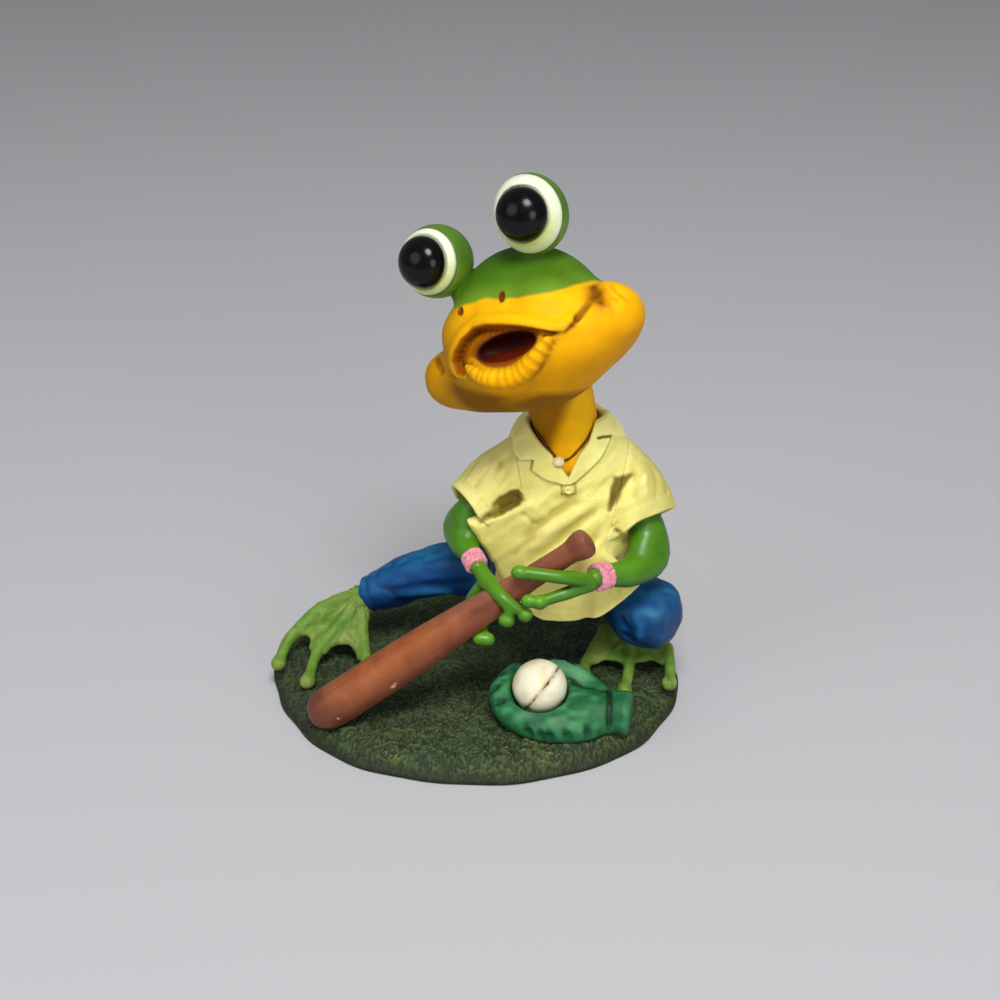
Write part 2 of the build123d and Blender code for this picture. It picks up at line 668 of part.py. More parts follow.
# Necklace: a cord ring lying round the neck inside the collar, with one bead at its lowest point
necklace_height = neckline.offset(COLLAR_STAND * 0.7)
necklace_plane = Plane(
    necklace_height.origin + Vector(-0.3, -0.5, 0), x_dir=neckline.x_dir, z_dir=neckline.z_dir
)
necklace_half_width = NECK_RADIUS + CORD_RADIUS * 2
necklace_half_depth = NECK_RADIUS * (1 + NECKLINE_TILT**2) ** 0.5 + CORD_RADIUS * 3.4
with BuildPart() as necklace:
    with BuildLine(necklace_plane) as cord_path:
        EllipticalCenterArc((0, 0), necklace_half_width, necklace_half_depth, arc_size=360)
    cord = cord_path.edges()[0]
    with BuildSketch(Plane(cord @ 0, z_dir=cord % 0)):
        Circle(CORD_RADIUS)
    sweep()
write(necklace, "necklace")

bead_along = -necklace_plane.y_dir
bead_centre = necklace_plane.origin + bead_along * (necklace_half_depth + CORD_RADIUS + BEAD_RADIUS)
bead_form = bulb(bead_centre, bead_along, BEAD_RADIUS)
with BuildPart() as necklace_bead:
    add(bead_form)
write(necklace_bead, "necklace_bead")

# Glove and ball: the glove lies palm up on the grass with the ball in its pocket
ball_centre = above_grass(13.3, -16.4, 6.4)
glove_palm = ellipsoid(12.0, 9.6, 5.8)
glove_forms = [
    limb([(above_grass(14.5, -24.0, 2.0), 2.6), (above_grass(7.5, -21.5, 3.2), 2.6),
          (above_grass(5.6, -15.5, 4.6), 2.5), (above_grass(9.0, -9.8, 5.6), 2.3)]),
    limb([(above_grass(24.0, -14.0, 2.6), 3.4), (above_grass(19.5, -9.8, 4.4), 3.3),
          (above_grass(16.0, -8.6, 5.2), 2.4)]),
    limb([(above_grass(23.0, -18.0, 1.8), 6.2), (above_grass(28.0, -19.5, 1.8), 5.2),
          (above_grass(31.5, -20.0, 1.9), 5.6)]),
]
with BuildPart() as glove:
    with Locations(above_grass(17.5, -18.0, 1.2)):
        add(glove_palm)
    for form in glove_forms:
        add(form)
    with Locations(ball_centre):
        Sphere(BALL_RADIUS + GLUE_GAP, mode=Mode.SUBTRACT)
    split(bisect_by=Plane.XY.offset(BASE_HEIGHT), keep=Keep.TOP)
    with BuildSketch(Plane.XY.offset(BASE_HEIGHT)):
        with Locations(GLOVE_CENTRE):
            Circle(PEG_RADIUS)
    extrude(amount=-PEG_LENGTH)
write(glove, "glove")

with BuildPart() as ball:
    with Locations(ball_centre):
        Sphere(BALL_RADIUS)
write(ball, "ball")
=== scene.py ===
# %% [markdown]
# # A painted frog figurine
# The object is a small hand-painted resin casting: a frog ball player sitting on an oval of
# grass. This lesson loads the CAD solids as a frame, sculpts each casting again with all its
# folds, wrinkles and seams, and paints it: a base coat, painted shade in the hollows and on
# faces turned from the lamps, and painted highlight on the raised edges and on faces turned up.

import math

import bpy
import numpy as np
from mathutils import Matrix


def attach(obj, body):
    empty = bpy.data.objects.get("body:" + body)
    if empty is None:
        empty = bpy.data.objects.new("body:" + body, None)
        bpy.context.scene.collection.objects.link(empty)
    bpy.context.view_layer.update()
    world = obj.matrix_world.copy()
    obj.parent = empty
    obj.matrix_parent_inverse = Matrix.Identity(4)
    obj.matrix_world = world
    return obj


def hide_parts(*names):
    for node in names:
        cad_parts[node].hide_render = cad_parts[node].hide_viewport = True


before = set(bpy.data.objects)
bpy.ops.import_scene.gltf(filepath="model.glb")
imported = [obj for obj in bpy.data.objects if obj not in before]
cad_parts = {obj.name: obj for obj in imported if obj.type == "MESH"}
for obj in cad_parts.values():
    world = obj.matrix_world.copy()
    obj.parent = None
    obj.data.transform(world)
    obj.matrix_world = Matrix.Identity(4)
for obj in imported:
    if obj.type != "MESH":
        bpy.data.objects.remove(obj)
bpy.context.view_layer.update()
MM = 0.001

# %% [markdown]
# ## The camera
# The photograph was taken from a little above, looking down on the figurine from straight in
# front of its base. A longish lens at a third of a metre keeps the perspective natural.

# %% Camera
LENS = 60.9
SENSOR = 36.0
LOOK_DOWN = 27.5
CAMERA_PLACE = (0.00532, -0.30066, 0.20109)
camera_data = bpy.data.cameras.new("camera")
camera_data.lens = LENS
camera_data.sensor_width = SENSOR
camera = bpy.data.objects.new("camera", camera_data)
camera.location = CAMERA_PLACE
camera.rotation_euler = (math.radians(90 - LOOK_DOWN), 0, 0)
bpy.context.scene.collection.objects.link(camera)
bpy.context.scene.camera = camera
print("camera at", tuple(camera.location))

# %% [markdown]
# ## Sculpting tools
# A casting has soft forms that flow into each other, which is awkward to build face by face. Here
# each form is written as a field: a function that gives a point's distance to the surface, less
# than zero inside. Two fields melt together smoothly, one can be carved from another, and a crease
# is a little distance added along a line. Everything is in millimetres.


# %% Fields
def length(v):
    return np.sqrt((v * v).sum(-1))


def soft(x, start, stop):
    """0 before start, 1 after stop, and a smooth change between."""
    t = np.clip((x - start) / (stop - start), 0, 1)
    return t * t * (3 - 2 * t)


def fade(x, start, stop):
    """1 before start, 0 after stop, and a smooth change between."""
    return 1 - soft(x, start, stop)


def swell(x, wide):
    """A smooth bump: 1 where x is 0, and almost nothing at twice the width."""
    return np.exp(-((x / wide) ** 2))


def egg(p, centre, half, turn=None):
    """An oval body. Its half sizes run along x, y and z, or along the axes of turn."""
    q = p - np.array(centre)
    if turn is not None:
        q = q @ turn
    half = np.array(half)
    near = length(q / half) + 1e-9
    slope = length(q / half**2) + 1e-9
    return near * (near - 1) / slope


def near_line(p, points):
    """Distance to a line of points, and how far along the line the nearest place is, 0 to 1."""
    points = np.array(points, float)
    away = np.full(len(p), np.inf)
    place = np.zeros(len(p))
    pieces = len(points) - 1
    for i in range(pieces):
        run = points[i + 1] - points[i]
        t = np.clip((p - points[i]) @ run / (run @ run), 0, 1)
        here = length(p - points[i] - t[:, None] * run)
        closer = here < away
        away = np.where(closer, here, away)
        place = np.where(closer, (i + t) / pieces, place)
    return away, place


def off_line(p, points):
    return near_line(p, points)[0]


def bend(points, steps=5):
    """A smooth line through the points. Each point may carry its radius as a last number."""
    points = np.array(points, float)
    ends = np.vstack([2 * points[0] - points[1], points, 2 * points[-1] - points[-2]])
    line = []
    for i in range(len(points) - 1):
        a, b, c, d = ends[i : i + 4]
        for t in np.arange(steps) / steps:
            square, cube = 2 * a - 5 * b + 4 * c - d, 3 * b - a - 3 * c + d
            line.append(0.5 * (2 * b + (c - a) * t + square * t**2 + cube * t**3))
    line.append(points[-1])
    return np.array(line)


def limb(p, stations, steps=5):
    """A round limb along a smooth line of (x, y, z, radius) stations."""
    line = bend(stations, steps) if steps else np.array(stations, float)
    closest = np.full(len(p), np.inf)
    for a, b in zip(line, line[1:]):
        run = b[:3] - a[:3]
        t = np.clip((p - a[:3]) @ run / (run @ run), 0, 1)
        radius = a[3] + (b[3] - a[3]) * t
        closest = np.minimum(closest, length(p - a[:3] - t[:, None] * run) - radius)
    return closest


def melt(a, b, k):
    """Both fields as one, with a fillet of about k where they meet."""
    h = np.clip(0.5 + 0.5 * (b - a) / k, 0, 1)
    return b + (a - b) * h - k * h * (1 - h)


def carve(a, b, k):
    """Field a with field b taken away, its edge rounded by k."""
    return -melt(-a, b, k)


def keep(a, b, k):
    """The part of field a inside field b, its edge rounded by k."""
    return -melt(-a, -b, k)


def crease(p, points, width, depth, taper=0.25):
    """A groove along a line, shallower towards its ends. A negative depth gives a ridge."""
    points = np.array(points, float)
    groove = np.zeros(len(p))
    close = ((p > points.min(0) - 3 * width) & (p < points.max(0) + 3 * width)).all(-1)
    if close.any():
        away, place = near_line(p[close], points)
        ends = soft(place, 0, taper) * soft(1 - place, 0, taper)
        groove[close] = depth * ends * swell(away, width)
    return groove


def creases(p, rows):
    """Many creases at once. Each row is what crease takes: a line, a width, a depth and perhaps a taper."""
    return sum(crease(p, *row) for row in rows)


def outline(q, points):
    """Signed distance in a plane to a closed outline of points."""
    points = np.array(points, float)
    away = np.full(len(q), np.inf)
    inside = np.zeros(len(q), bool)
    for a, b in zip(points, np.roll(points, -1, axis=0)):
        run = b - a
        t = np.clip((q - a) @ run / (run @ run), 0, 1)
        away = np.minimum(away, length(q - a - t[:, None] * run))
        if a[1] != b[1]:
            across = (a[1] > q[:, 1]) != (b[1] > q[:, 1])
            meet = a[0] + (q[:, 1] - a[1]) * (b[0] - a[0]) / (b[1] - a[1])
            inside ^= across & (q[:, 0] < meet)
    return np.where(inside, -away, away)


NOISE_STEPS = (73856093, 19349663, 83492791)
NOISE_SEED = 362437
NOISE_MIXES = ((13, 1274126177), (15, 668265263))
NOISE_TOP = 0x7FFFFFFF


def speckle(p, size, seed):
    """Smooth fixed noise from 0 to 1 with lumps of about the size given."""
    q = p / np.array(size)
    corner = np.floor(q).astype(np.int64)
    f = q - corner
    f = f * f * (3 - 2 * f)
    total = np.zeros(len(p))
    for dx in (0, 1):
        for dy in (0, 1):
            for dz in (0, 1):
                n = (corner[:, 0] + dx) * NOISE_STEPS[0] ^ (corner[:, 1] + dy) * NOISE_STEPS[1]
                n = n ^ (corner[:, 2] + dz) * NOISE_STEPS[2] ^ seed * NOISE_SEED
                for shift, factor in NOISE_MIXES:
                    n = ((n ^ (n >> shift)) * factor) & NOISE_TOP
                weight = (f[:, 0] if dx else 1 - f[:, 0]) * (f[:, 1] if dy else 1 - f[:, 1])
                weight = weight * (f[:, 2] if dz else 1 - f[:, 2])
                total += weight * n / NOISE_TOP
    return total


def ripple(p, size, seed):
    """The same noise, but about zero."""
    return speckle(p, size, seed) - 0.5


def turn_about(axis, degrees):
    """A rotation matrix about x (0), y (1) or z (2)."""
    c, s = math.cos(math.radians(degrees)), math.sin(math.radians(degrees))
    u, v = (axis + 1) % 3, (axis + 2) % 3
    matrix = np.eye(3)
    matrix[u, u], matrix[u, v], matrix[v, u], matrix[v, v] = c, -s, s, c
    return matrix


print("fields ready")

# %% [markdown]
# ## From field to skin
# The field is sampled on a fine grid, only near the surface so that it stays quick. Every grid
# cell that the surface passes through gets one vertex, and every grid edge that it crosses gets a
# four-sided face. A few last steps along the field's slope pull the vertices exactly on to the
# surface, which keeps small creases crisp.


# %% Skin
BLOCK = 4
NEAR_BLOCKS = 1.3
CHUNK = 200000
PULL_STEPS = 2
SETTLE_STEPS = 12
SETTLE_REACH = 0.05
TINY = 1e-6
CORNERS = np.array([(x, y, z) for x in (0, 1) for y in (0, 1) for z in (0, 1)])
CELL_EDGES = [(a, b) for a in CORNERS for b in CORNERS if (b - a).min() >= 0 and (b - a).sum() == 1]


def sample(field, points):
    pieces = max(1, len(points) // CHUNK)
    return np.concatenate([field(part) for part in np.array_split(points, pieces)])


def slope(field, points, step):
    sides = []
    for axis in range(3):
        shift = np.zeros(3)
        shift[axis] = step
        sides.append(sample(field, points + shift) - sample(field, points - shift))
    return np.stack(sides, -1) / (2 * step)


def skin(field, low, high, cell):
    """Vertices, four-sided faces and normals of the surface where the field is zero."""
    low, high = np.array(low, float), np.array(high, float)
    blocks = np.ceil((high - low) / (cell * BLOCK)).astype(int) + 1
    middles = [low[a] + (np.arange(blocks[a]) * BLOCK + (BLOCK - 1) / 2) * cell for a in range(3)]
    coarse = sample(field, np.stack(np.meshgrid(*middles, indexing="ij"), -1).reshape(-1, 3)).reshape(blocks)
    values = coarse
    for axis in range(3):
        values = np.repeat(values, BLOCK, axis)
    near = np.argwhere(np.abs(coarse) < NEAR_BLOCKS * BLOCK * cell) * BLOCK
    steps = np.stack(np.meshgrid(*[np.arange(BLOCK)] * 3, indexing="ij"), -1).reshape(-1, 3)
    spots = (near[:, None, :] + steps[None]).reshape(-1, 3)
    values[tuple(spots.T)] = sample(field, low + spots * cell)

    inside = values < 0
    size = np.array(values.shape)
    count = np.zeros(size - 1, int)
    for x, y, z in CORNERS:
        count += inside[x : size[0] - 1 + x, y : size[1] - 1 + y, z : size[2] - 1 + z]
    active = (count > 0) & (count < 8)
    cells = np.argwhere(active)
    number = np.full(active.shape, -1)
    number[active] = np.arange(len(cells))
    total = np.zeros((len(cells), 3))
    crossings = np.zeros(len(cells))
    for a, b in CELL_EDGES:
        start, stop = values[tuple((cells + a).T)], values[tuple((cells + b).T)]
        cross = (start < 0) != (stop < 0)
        t = start[cross] / (start[cross] - stop[cross])
        total[cross] += a + t[:, None] * (b - a)
        crossings[cross] += 1
    verts = low + (cells + total / crossings[:, None]) * cell

    quads = []
    for axis in range(3):
        u, v = np.eye(3, dtype=int)[(axis + 1) % 3], np.eye(3, dtype=int)[(axis + 2) % 3]
        first = [slice(1, -1)] * 3
        second = [slice(1, -1)] * 3
        first[axis], second[axis] = slice(0, -1), slice(1, None)
        edges = np.argwhere(inside[tuple(first)] != inside[tuple(second)]) + u + v
        ring = [number[tuple((edges + d).T)] for d in (-u - v, -v, 0 * u, -u)]
        faces = np.stack(ring, -1)
        inward = inside[tuple(edges.T)]
        faces[~inward] = faces[~inward][:, ::-1]
        quads.append(faces)
    quads = np.concatenate(quads)

    grade = slope(field, verts, cell * 0.4)
    for _ in range(PULL_STEPS):
        steep = (grade * grade).sum(-1) + TINY
        move = grade * (sample(field, verts) / steep)[:, None]
        verts -= move * np.minimum(1, 0.5 * cell / (length(move) + 1e-9))[:, None]
    grade = slope(field, verts, cell * 0.5)
    return verts, quads, grade / (length(grade)[:, None] + 1e-9)


def settle(points, field, lift=0.0):
    """Moves points on to a surface, or to a height above it."""
    points = np.array(points, float)
    for _ in range(SETTLE_STEPS):
        grade = slope(field, points, SETTLE_REACH)
        steep = (grade * grade).sum(-1) + TINY
        points = points - grade * ((field(points) - lift) / steep)[:, None]
    return points


def hollow(field, verts, normals, reach):
    """0 on open surface, towards 1 in a hollow, where painted shade darkens the paint."""
    return np.clip(1 - sample(field, verts + normals * reach) / reach, 0, 1)


def raised(field, verts, normals, reach):
    """0 on flat surface, towards 1 along a raised edge, where painted highlight lightens the paint."""
    return np.clip(1 + sample(field, verts - normals * reach) / reach, 0, 1)


print("skin ready, cells have", len(CELL_EDGES), "edges")

# %% [markdown]
# ## Paint and pieces
# The colours are laid on as vertex paint, mixed from ordinary 0 to 255 colour values. Much of it is
# painted light: painted shade in hollows, folds and under things, and painted highlight on tops and
# raised edges. Each finish is a node material: it takes the vertex paint and adds what a brush leaves
# at a smaller scale, uneven coverage, fine grain, and gloss that changes from place to place.


# %% Paint
def pot(red, green, blue):
    """A pot of paint from 0 to 255 values, as linear colour."""
    c = np.array([red, green, blue]) / 255
    return np.where(c <= 0.04045, c / 12.92, ((c + 0.055) / 1.055) ** 2.4)


def coat(verts, colour):
    return np.tile(np.array(colour, float), (len(verts), 1))


def brush(colours, colour, amount):
    """Lays a colour over the paint where amount goes from 0 to 1."""
    return colours + (np.array(colour) - colours) * np.clip(amount, 0, 1)[:, None]


def layers(colours, *strokes):
    """Brushes one colour after another over the paint, each with its own amount."""
    for shade, amount in strokes:
        colours = brush(colours, pot(*shade), amount)
    return colours


def piece(name, verts, quads, colours, finish, slot, *nodes):
    """Makes the painted mesh, and sets it in the frame in place of its CAD nodes."""
    mesh = bpy.data.meshes.new(name)
    mesh.vertices.add(len(verts))
    mesh.vertices.foreach_set("co", (verts * MM).astype(np.float32).ravel())
    mesh.loops.add(quads.size)
    mesh.loops.foreach_set("vertex_index", quads.astype(np.int32).ravel())
    mesh.polygons.add(len(quads))
    mesh.polygons.foreach_set("loop_start", np.arange(0, quads.size, 4, dtype=np.int32))
    mesh.polygons.foreach_set("use_smooth", np.ones(len(quads), bool))
    mesh.update(calc_edges=True)
    layer = mesh.color_attributes.new("paint", "FLOAT_COLOR", "POINT")
    layer.data.foreach_set("color", np.hstack([colours, np.ones((len(verts), 1))]).astype(np.float32).ravel())
    obj = bpy.data.objects.new(name, mesh)
    bpy.context.scene.collection.objects.link(obj)
    mesh.materials.append(finish)
    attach(obj, "root")
    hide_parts(*nodes)
    print(name, len(verts), "vertices")


def finish(name, patch, patchy, grain, grainy, rough, bump, shine=0.25, sheen=0.0):
    """A painted finish. patch and grain are sizes in mm, patchy and grainy how strongly they show."""
    material = bpy.data.materials.new(name)
    material.use_nodes = True
    nodes, links = material.node_tree.nodes, material.node_tree.links
    shader = nodes["Principled BSDF"]
    paint = nodes.new("ShaderNodeAttribute")
    paint.attribute_name = "paint"
    place = nodes.new("ShaderNodeTexCoord")
    noises = []
    for size, detail in ((patch, 4.0), (grain, 2.0)):
        noise = nodes.new("ShaderNodeTexNoise")
        noise.inputs["Scale"].default_value = 1 / (size * MM)
        noise.inputs["Detail"].default_value = detail
        links.new(place.outputs["Object"], noise.inputs["Vector"])
        noises.append(noise)

    def spread(noise, low, high):
        """The middle of a noise's range, stretched to run from low to high."""
        level = nodes.new("ShaderNodeMapRange")
        for socket, value in (("From Min", 0.3), ("From Max", 0.7), ("To Min", low), ("To Max", high)):
            level.inputs[socket].default_value = value
        links.new(noise.outputs["Fac"], level.inputs["Value"])
        return level.outputs["Result"]

    colour = paint.outputs["Color"]
    for noise, strength in zip(noises, (patchy, grainy)):
        mix = nodes.new("ShaderNodeVectorMath")
        mix.operation = "MULTIPLY"
        links.new(colour, mix.inputs[0])
        links.new(spread(noise, 1 - strength, 1 + strength), mix.inputs[1])
        colour = mix.outputs["Vector"]
    links.new(colour, shader.inputs["Base Color"])
    links.new(spread(noises[0], *rough), shader.inputs["Roughness"])
    relief = nodes.new("ShaderNodeBump")
    relief.inputs["Distance"].default_value = bump * MM
    relief.inputs["Strength"].default_value = 0.6
    links.new(noises[1].outputs["Fac"], relief.inputs["Height"])
    links.new(relief.outputs["Normal"], shader.inputs["Normal"])
    shader.inputs["Specular IOR Level"].default_value = shine
    shader.inputs["Sheen Weight"].default_value = sheen
    return material


print("a test pot of yellow:", pot(250, 184, 12).round(3))

# %% [markdown]
# ## The grass base
# The base is an oval slab whose top was stippled in the clay to look like short grass. A height
# map on a disc suits it: a square grid bent into an oval has no pole in the middle, and each point
# is lifted by short noise strokes, laid in three directions that sway a little. The rim wanders and
# slopes down to a thin edge. Painted shade darkens the gaps between the strokes, the dips between
# the tufts and the grass away from the front, painted highlight lightens the stroke tips and makes a
# few bright glints at the front, and olive paint has gone over the tips, more at the front.

# %% Base
BASE_TOP = 4.5
GRASS_STEPS = 460
TUFT_PITCH = 7.3
TUFT_ROW = TUFT_PITCH * 3**0.5 / 2
HOLLOW_RADIUS = 3.0
HOLLOW_DEPTH = 0.4
STROKES = ((0.4, 0.36, 0.95), (1.5, 0.34, 0.8), (2.5, 0.38, 1.1))
STROKE_HEIGHT = 0.5
HALF_WIDTH = 42.8
HALF_FRONT = 34.9
HALF_BACK = 36.3
INSET_RUN = 38
RIM_DROP = 3.5
RIM_SLOPE = 5.0
RIM_WAVES = ((0.006, 5, 0.6), (0.005, 9, 2.0), (0.004, 17, 0.0))
RIM_SWELLS = ((-2.75, 0.35, -0.045), (-2.2, 0.3, -0.02), (2.85, 0.25, 0.035))
UNDERSIDE_RINGS = ((1.0, 0.25), (0.985, 0.0), (0.6, 0.0), (0.25, 0.0))


def on_plane(xy):
    return np.column_stack([xy, np.zeros(len(xy))])


def grass_strokes(xy):
    """Short strokes of grass, 0 in the gaps to 1 on the tips."""
    tips = np.zeros(len(xy))
    for i, (heading, wide, long) in enumerate(STROKES):
        c, s = math.cos(heading), math.sin(heading)
        sway = 0.4 * ripple(on_plane(xy), 2.5, 17 + i)
        turned = np.column_stack([c * xy[:, 0] + s * xy[:, 1], c * xy[:, 1] - s * xy[:, 0] + sway])
        blade = speckle(on_plane(turned), (long, wide, 1.0), 11 + i)
        tips = np.maximum(tips, blade * (0.75 + 0.5 * speckle(on_plane(xy), 2.2, 14 + i)))
    fine = speckle(on_plane(xy), 0.45, 19)
    return soft(tips + 0.5 * (fine - 0.5), 0.35, 1.05)


def tuft_hollow(xy):
    """0 on the tufts and 1 in the middle of the hollows between them, in staggered rows."""
    near = np.full(len(xy), np.inf)
    for shift in (0.0, 0.5):
        dx = (xy[:, 0] / TUFT_PITCH - shift + 0.5) % 1 - 0.5
        dy = (xy[:, 1] / (2 * TUFT_ROW) - shift + 0.5) % 1 - 0.5
        near = np.minimum(near, np.hypot(dx * TUFT_PITCH, dy * 2 * TUFT_ROW))
    return np.clip(1 - (near / HOLLOW_RADIUS) ** 2, 0, 1)


def rim_reach(angle):
    """How far the wandering rim lies from the middle, as a share of a true oval."""
    share = 1 + sum(size * np.sin(count * angle + shift) for size, count, shift in RIM_WAVES)
    for place, wide, push in RIM_SWELLS:
        apart = (angle - place + math.pi) % (2 * math.pi) - math.pi
        share = share + push * swell(apart, wide)
    return share


side = np.linspace(-1, 1, GRASS_STEPS)
gx, gy = [g.ravel() for g in np.meshgrid(side, side, indexing="ij")]
disc = np.column_stack([gx * np.sqrt(1 - gy**2 / 2), gy * np.sqrt(1 - gx**2 / 2)])
reach = rim_reach(np.arctan2(disc[:, 1], disc[:, 0]))
half_depth = np.where(disc[:, 1] < 0, HALF_FRONT, HALF_BACK)
xy = np.column_stack([disc[:, 0] * HALF_WIDTH, disc[:, 1] * half_depth]) * reach[:, None]
inset = (1 - length(disc)) * INSET_RUN
tips = grass_strokes(xy)
lie = BASE_TOP - RIM_DROP * np.clip(1 - inset / RIM_SLOPE, 0, 1) ** 1.8
rise = (tips - 0.6) * STROKE_HEIGHT * soft(inset, -0.3, 1.0)
rise = rise - HOLLOW_DEPTH * tuft_hollow(xy) * soft(inset, 4, 7)
top = np.column_stack([xy, np.maximum(lie + rise, 0.5)])
index = np.arange(GRASS_STEPS**2).reshape(GRASS_STEPS, GRASS_STEPS)
top_quads = np.stack([index[:-1, :-1], index[1:, :-1], index[1:, 1:], index[:-1, 1:]], -1).reshape(-1, 4)
border = np.concatenate([index[:-1, 0], index[-1, :-1], index[:0:-1, -1], index[0, :0:-1]])
rings, walls, start = [top], [], border
for pull, z in UNDERSIDE_RINGS:
    numbers = sum(len(r) for r in rings) + np.arange(len(border))
    rings.append(np.column_stack([xy[border] * pull, np.full(len(border), z)]))
    walls.append(np.stack([start, numbers, np.roll(numbers, -1), np.roll(start, -1)], -1))
    start = numbers
lid = np.array([(start[i], start[i + 1], start[-i - 2], start[-i - 1]) for i in range(len(start) // 2 - 1)])
base_verts = np.vstack(rings)
base_quads = np.vstack([top_quads, *walls, lid[:, ::-1]])
under = np.zeros(len(base_verts) - len(top))
blades = np.concatenate([tips, under])
front = np.concatenate([soft(-xy[:, 1] + 0.35 * xy[:, 0], 2, 32), under])
near_rim = np.concatenate([fade(inset, 0.1, 1.6), under + 1])
dips = np.concatenate([tuft_hollow(xy), under])
patches = speckle(base_verts, 8.0, 21)
glint_spots = np.concatenate([speckle(on_plane(xy), 0.5, 22), under])
# Painted light: the stroke tips get painted highlight, the dips and the grass away from the front get painted
# shade, and the bright spots are painted glints. The rim and sides are darker.
base_paint = layers(
    coat(base_verts, pot(42, 54, 32)),
    ((60, 76, 44), soft(blades, 0.15, 0.7)),
    ((78, 94, 54), 0.6 * soft(blades, 0.55, 1.0)),
    ((88, 100, 40), soft(blades, 0.3, 0.95) * (0.05 + 0.4 * front) * soft(patches, 0.2, 0.8)),
    ((38, 47, 32), 0.35 * (1 - front) + 0.25 * dips),
    ((190, 200, 150), 0.6 * soft(glint_spots, 0.9, 0.97) * soft(patches, 0.45, 0.7) * front),
    ((30, 36, 20), 0.7 * near_rim),
)
grass_finish = finish("grass_paint", 1.6, 0.18, 0.3, 0.35, (0.5, 0.75), 0.15)
piece("grass_base", base_verts, base_quads, base_paint, grass_finish, "grass", "base")

# %% [markdown]
# ## The feet
# Each foot is a fan of web from the cuff down to three thin toes with round pads. The web is made of
# thin triangles melted to the toes, with a bite taken out between the toe tips. Olive paint blotches
# the web and the toes stay greener. Painted shade darkens the hollows, a painted shadow lies where the
# foot meets the grass, and painted highlight lightens the raised edges.


# %% Feet
def sheet(p, a, b, c, thick):
    """A thin flat triangle with rounded edges."""
    a, b, c = np.array(a), np.array(b), np.array(c)
    normal = np.cross(b - a, c - a)
    normal = normal / length(normal)
    height = (p - a) @ normal
    q = p - height[:, None] * normal
    away = np.full(len(p), -np.inf)
    for u, v in ((a, b), (b, c), (c, a)):
        out = np.cross(v - u, normal)
        away = np.maximum(away, (q - u) @ (out / length(out)))
    return np.hypot(np.clip(away, 0, None), height) - thick


def foot_field(shin, toes, gaps):
    """A webbed foot: each toe is a line of brow, arch, bend and pad, with a web cut back in arches."""
    toes = np.array(toes)

    def field(p):
        d = limb(p, [(*shin, 2.8), (*toes[1, 0], 2.0)], 0)
        d = melt(d, limb(p, [(*b, 1.1) for b in toes[:, 0]], 0), 1.0)
        for one, two in ((toes[0], toes[1]), (toes[1], toes[2])):
            for k in (0, 1):
                d = melt(d, sheet(p, one[k], one[k + 1], two[k + 1], 0.5), 0.8)
                d = melt(d, sheet(p, one[k], two[k], two[k + 1], 0.5), 0.8)
        for i, (gap, wide) in enumerate(gaps):
            way = (toes[i, 3, :2] + toes[i + 1, 3, :2]) / 2
            d = carve(d, off_line(p[:, :2], [gap, way]) - wide, 0.5)
        for toe in toes:
            d = melt(d, limb(p, np.column_stack([toe, [1.1, 1.1, 1.15, 1.1]])), 0.9)
            d = melt(d, egg(p, toe[3] + (0, 0.2, 0.1), (1.5, 1.75, 1.3)), 1.0)
        turn = np.arctan2(p[:, 1] - toes[1, 0, 1], p[:, 0] - toes[1, 0, 0])
        d = d + 0.07 * np.sin(17 * turn + 2 * speckle(p, 3.0, 32))
        return np.maximum(d, BASE_TOP - 0.9 - p[:, 2])

    return field


foot_finish = finish("foot_paint", 1.2, 0.14, 0.3, 0.14, (0.42, 0.6), 0.06)
FEET = {
    "right_foot": (
        (-19.0, 12.2, 17.0),
        [
            [(-25.3, 11.8, 16.2), (-33.2, 10.8, 12.9), (-39.2, 5.4, 9.0), (-41.4, -0.4, 5.8)],
            [(-24.6, 10.6, 14.8), (-29.2, 5.6, 11.2), (-33.0, 0.8, 8.2), (-34.6, -7.2, 5.8)],
            [(-23.6, 9.8, 13.2), (-23.8, 4.8, 10.0), (-22.9, -0.4, 7.2), (-21.5, -5.0, 5.7)],
        ],
        [((-37.2, 3.2), 2.3), ((-28.0, -0.8), 3.3)],
    ),
    "left_foot": (
        (33.5, 5.5, 14.0),
        [
            [(37.6, 7.0, 8.8), (40.6, 3.6, 7.6), (41.0, -0.6, 6.7), (40.4, -7.8, 5.8)],
            [(32.8, 8.0, 11.0), (32.6, 2.6, 8.6), (32.3, -3.2, 6.9), (30.8, -10.6, 5.8)],
            [(27.5, 7.6, 9.2), (25.4, 3.4, 7.6), (23.6, -0.4, 6.6), (22.6, -4.2, 5.8)],
        ],
        [((27.9, -3.6), 3.0), ((36.8, -3.3), 2.7)],
    ),
}
for name, (shin, toes, gaps) in FEET.items():
    field = foot_field(shin, toes, gaps)
    spots = np.array([shin] + [spot for toe in toes for spot in toe])
    verts, quads, normals = skin(field, spots.min(0) - 4, spots.max(0) + 4, 0.3)
    toe_line = np.min([off_line(verts, toe) for toe in toes], 0)
    out = verts - np.array(toes[1][0])
    fan = np.arctan2(out[:, 1], out[:, 0]) * 9
    streaks = speckle(np.column_stack([fan, length(out) * 0.25, 0 * fan]), 0.6, 31)
    blotch = speckle(verts, 3.0, 33)
    # The last three rows are painted light: shade in the hollows, a painted shadow where the foot meets the
    # grass, and a highlight on raised edges.
    paint = layers(
        coat(verts, pot(104, 140, 50)),
        ((146, 154, 80), 0.7 * soft(blotch, 0.3, 0.75) * soft(toe_line, 0.6, 2.2)),
        ((74, 106, 28), 0.55 * soft(1 - streaks, 0.5, 0.9) * soft(toe_line, 0.3, 1.5)),
        ((92, 142, 34), 0.7 * fade(toe_line, 0.5, 1.4)),
        ((44, 66, 16), 1.1 * hollow(field, verts, normals, 0.9)),
        ((26, 36, 12), 0.9 * fade(verts[:, 2], BASE_TOP + 0.1, BASE_TOP + 0.9)),
        ((150, 178, 66), 0.35 * raised(field, verts, normals, 0.5)),
    )
    piece(name + "_cast", verts, quads, paint, foot_finish, "foot_skin", name)
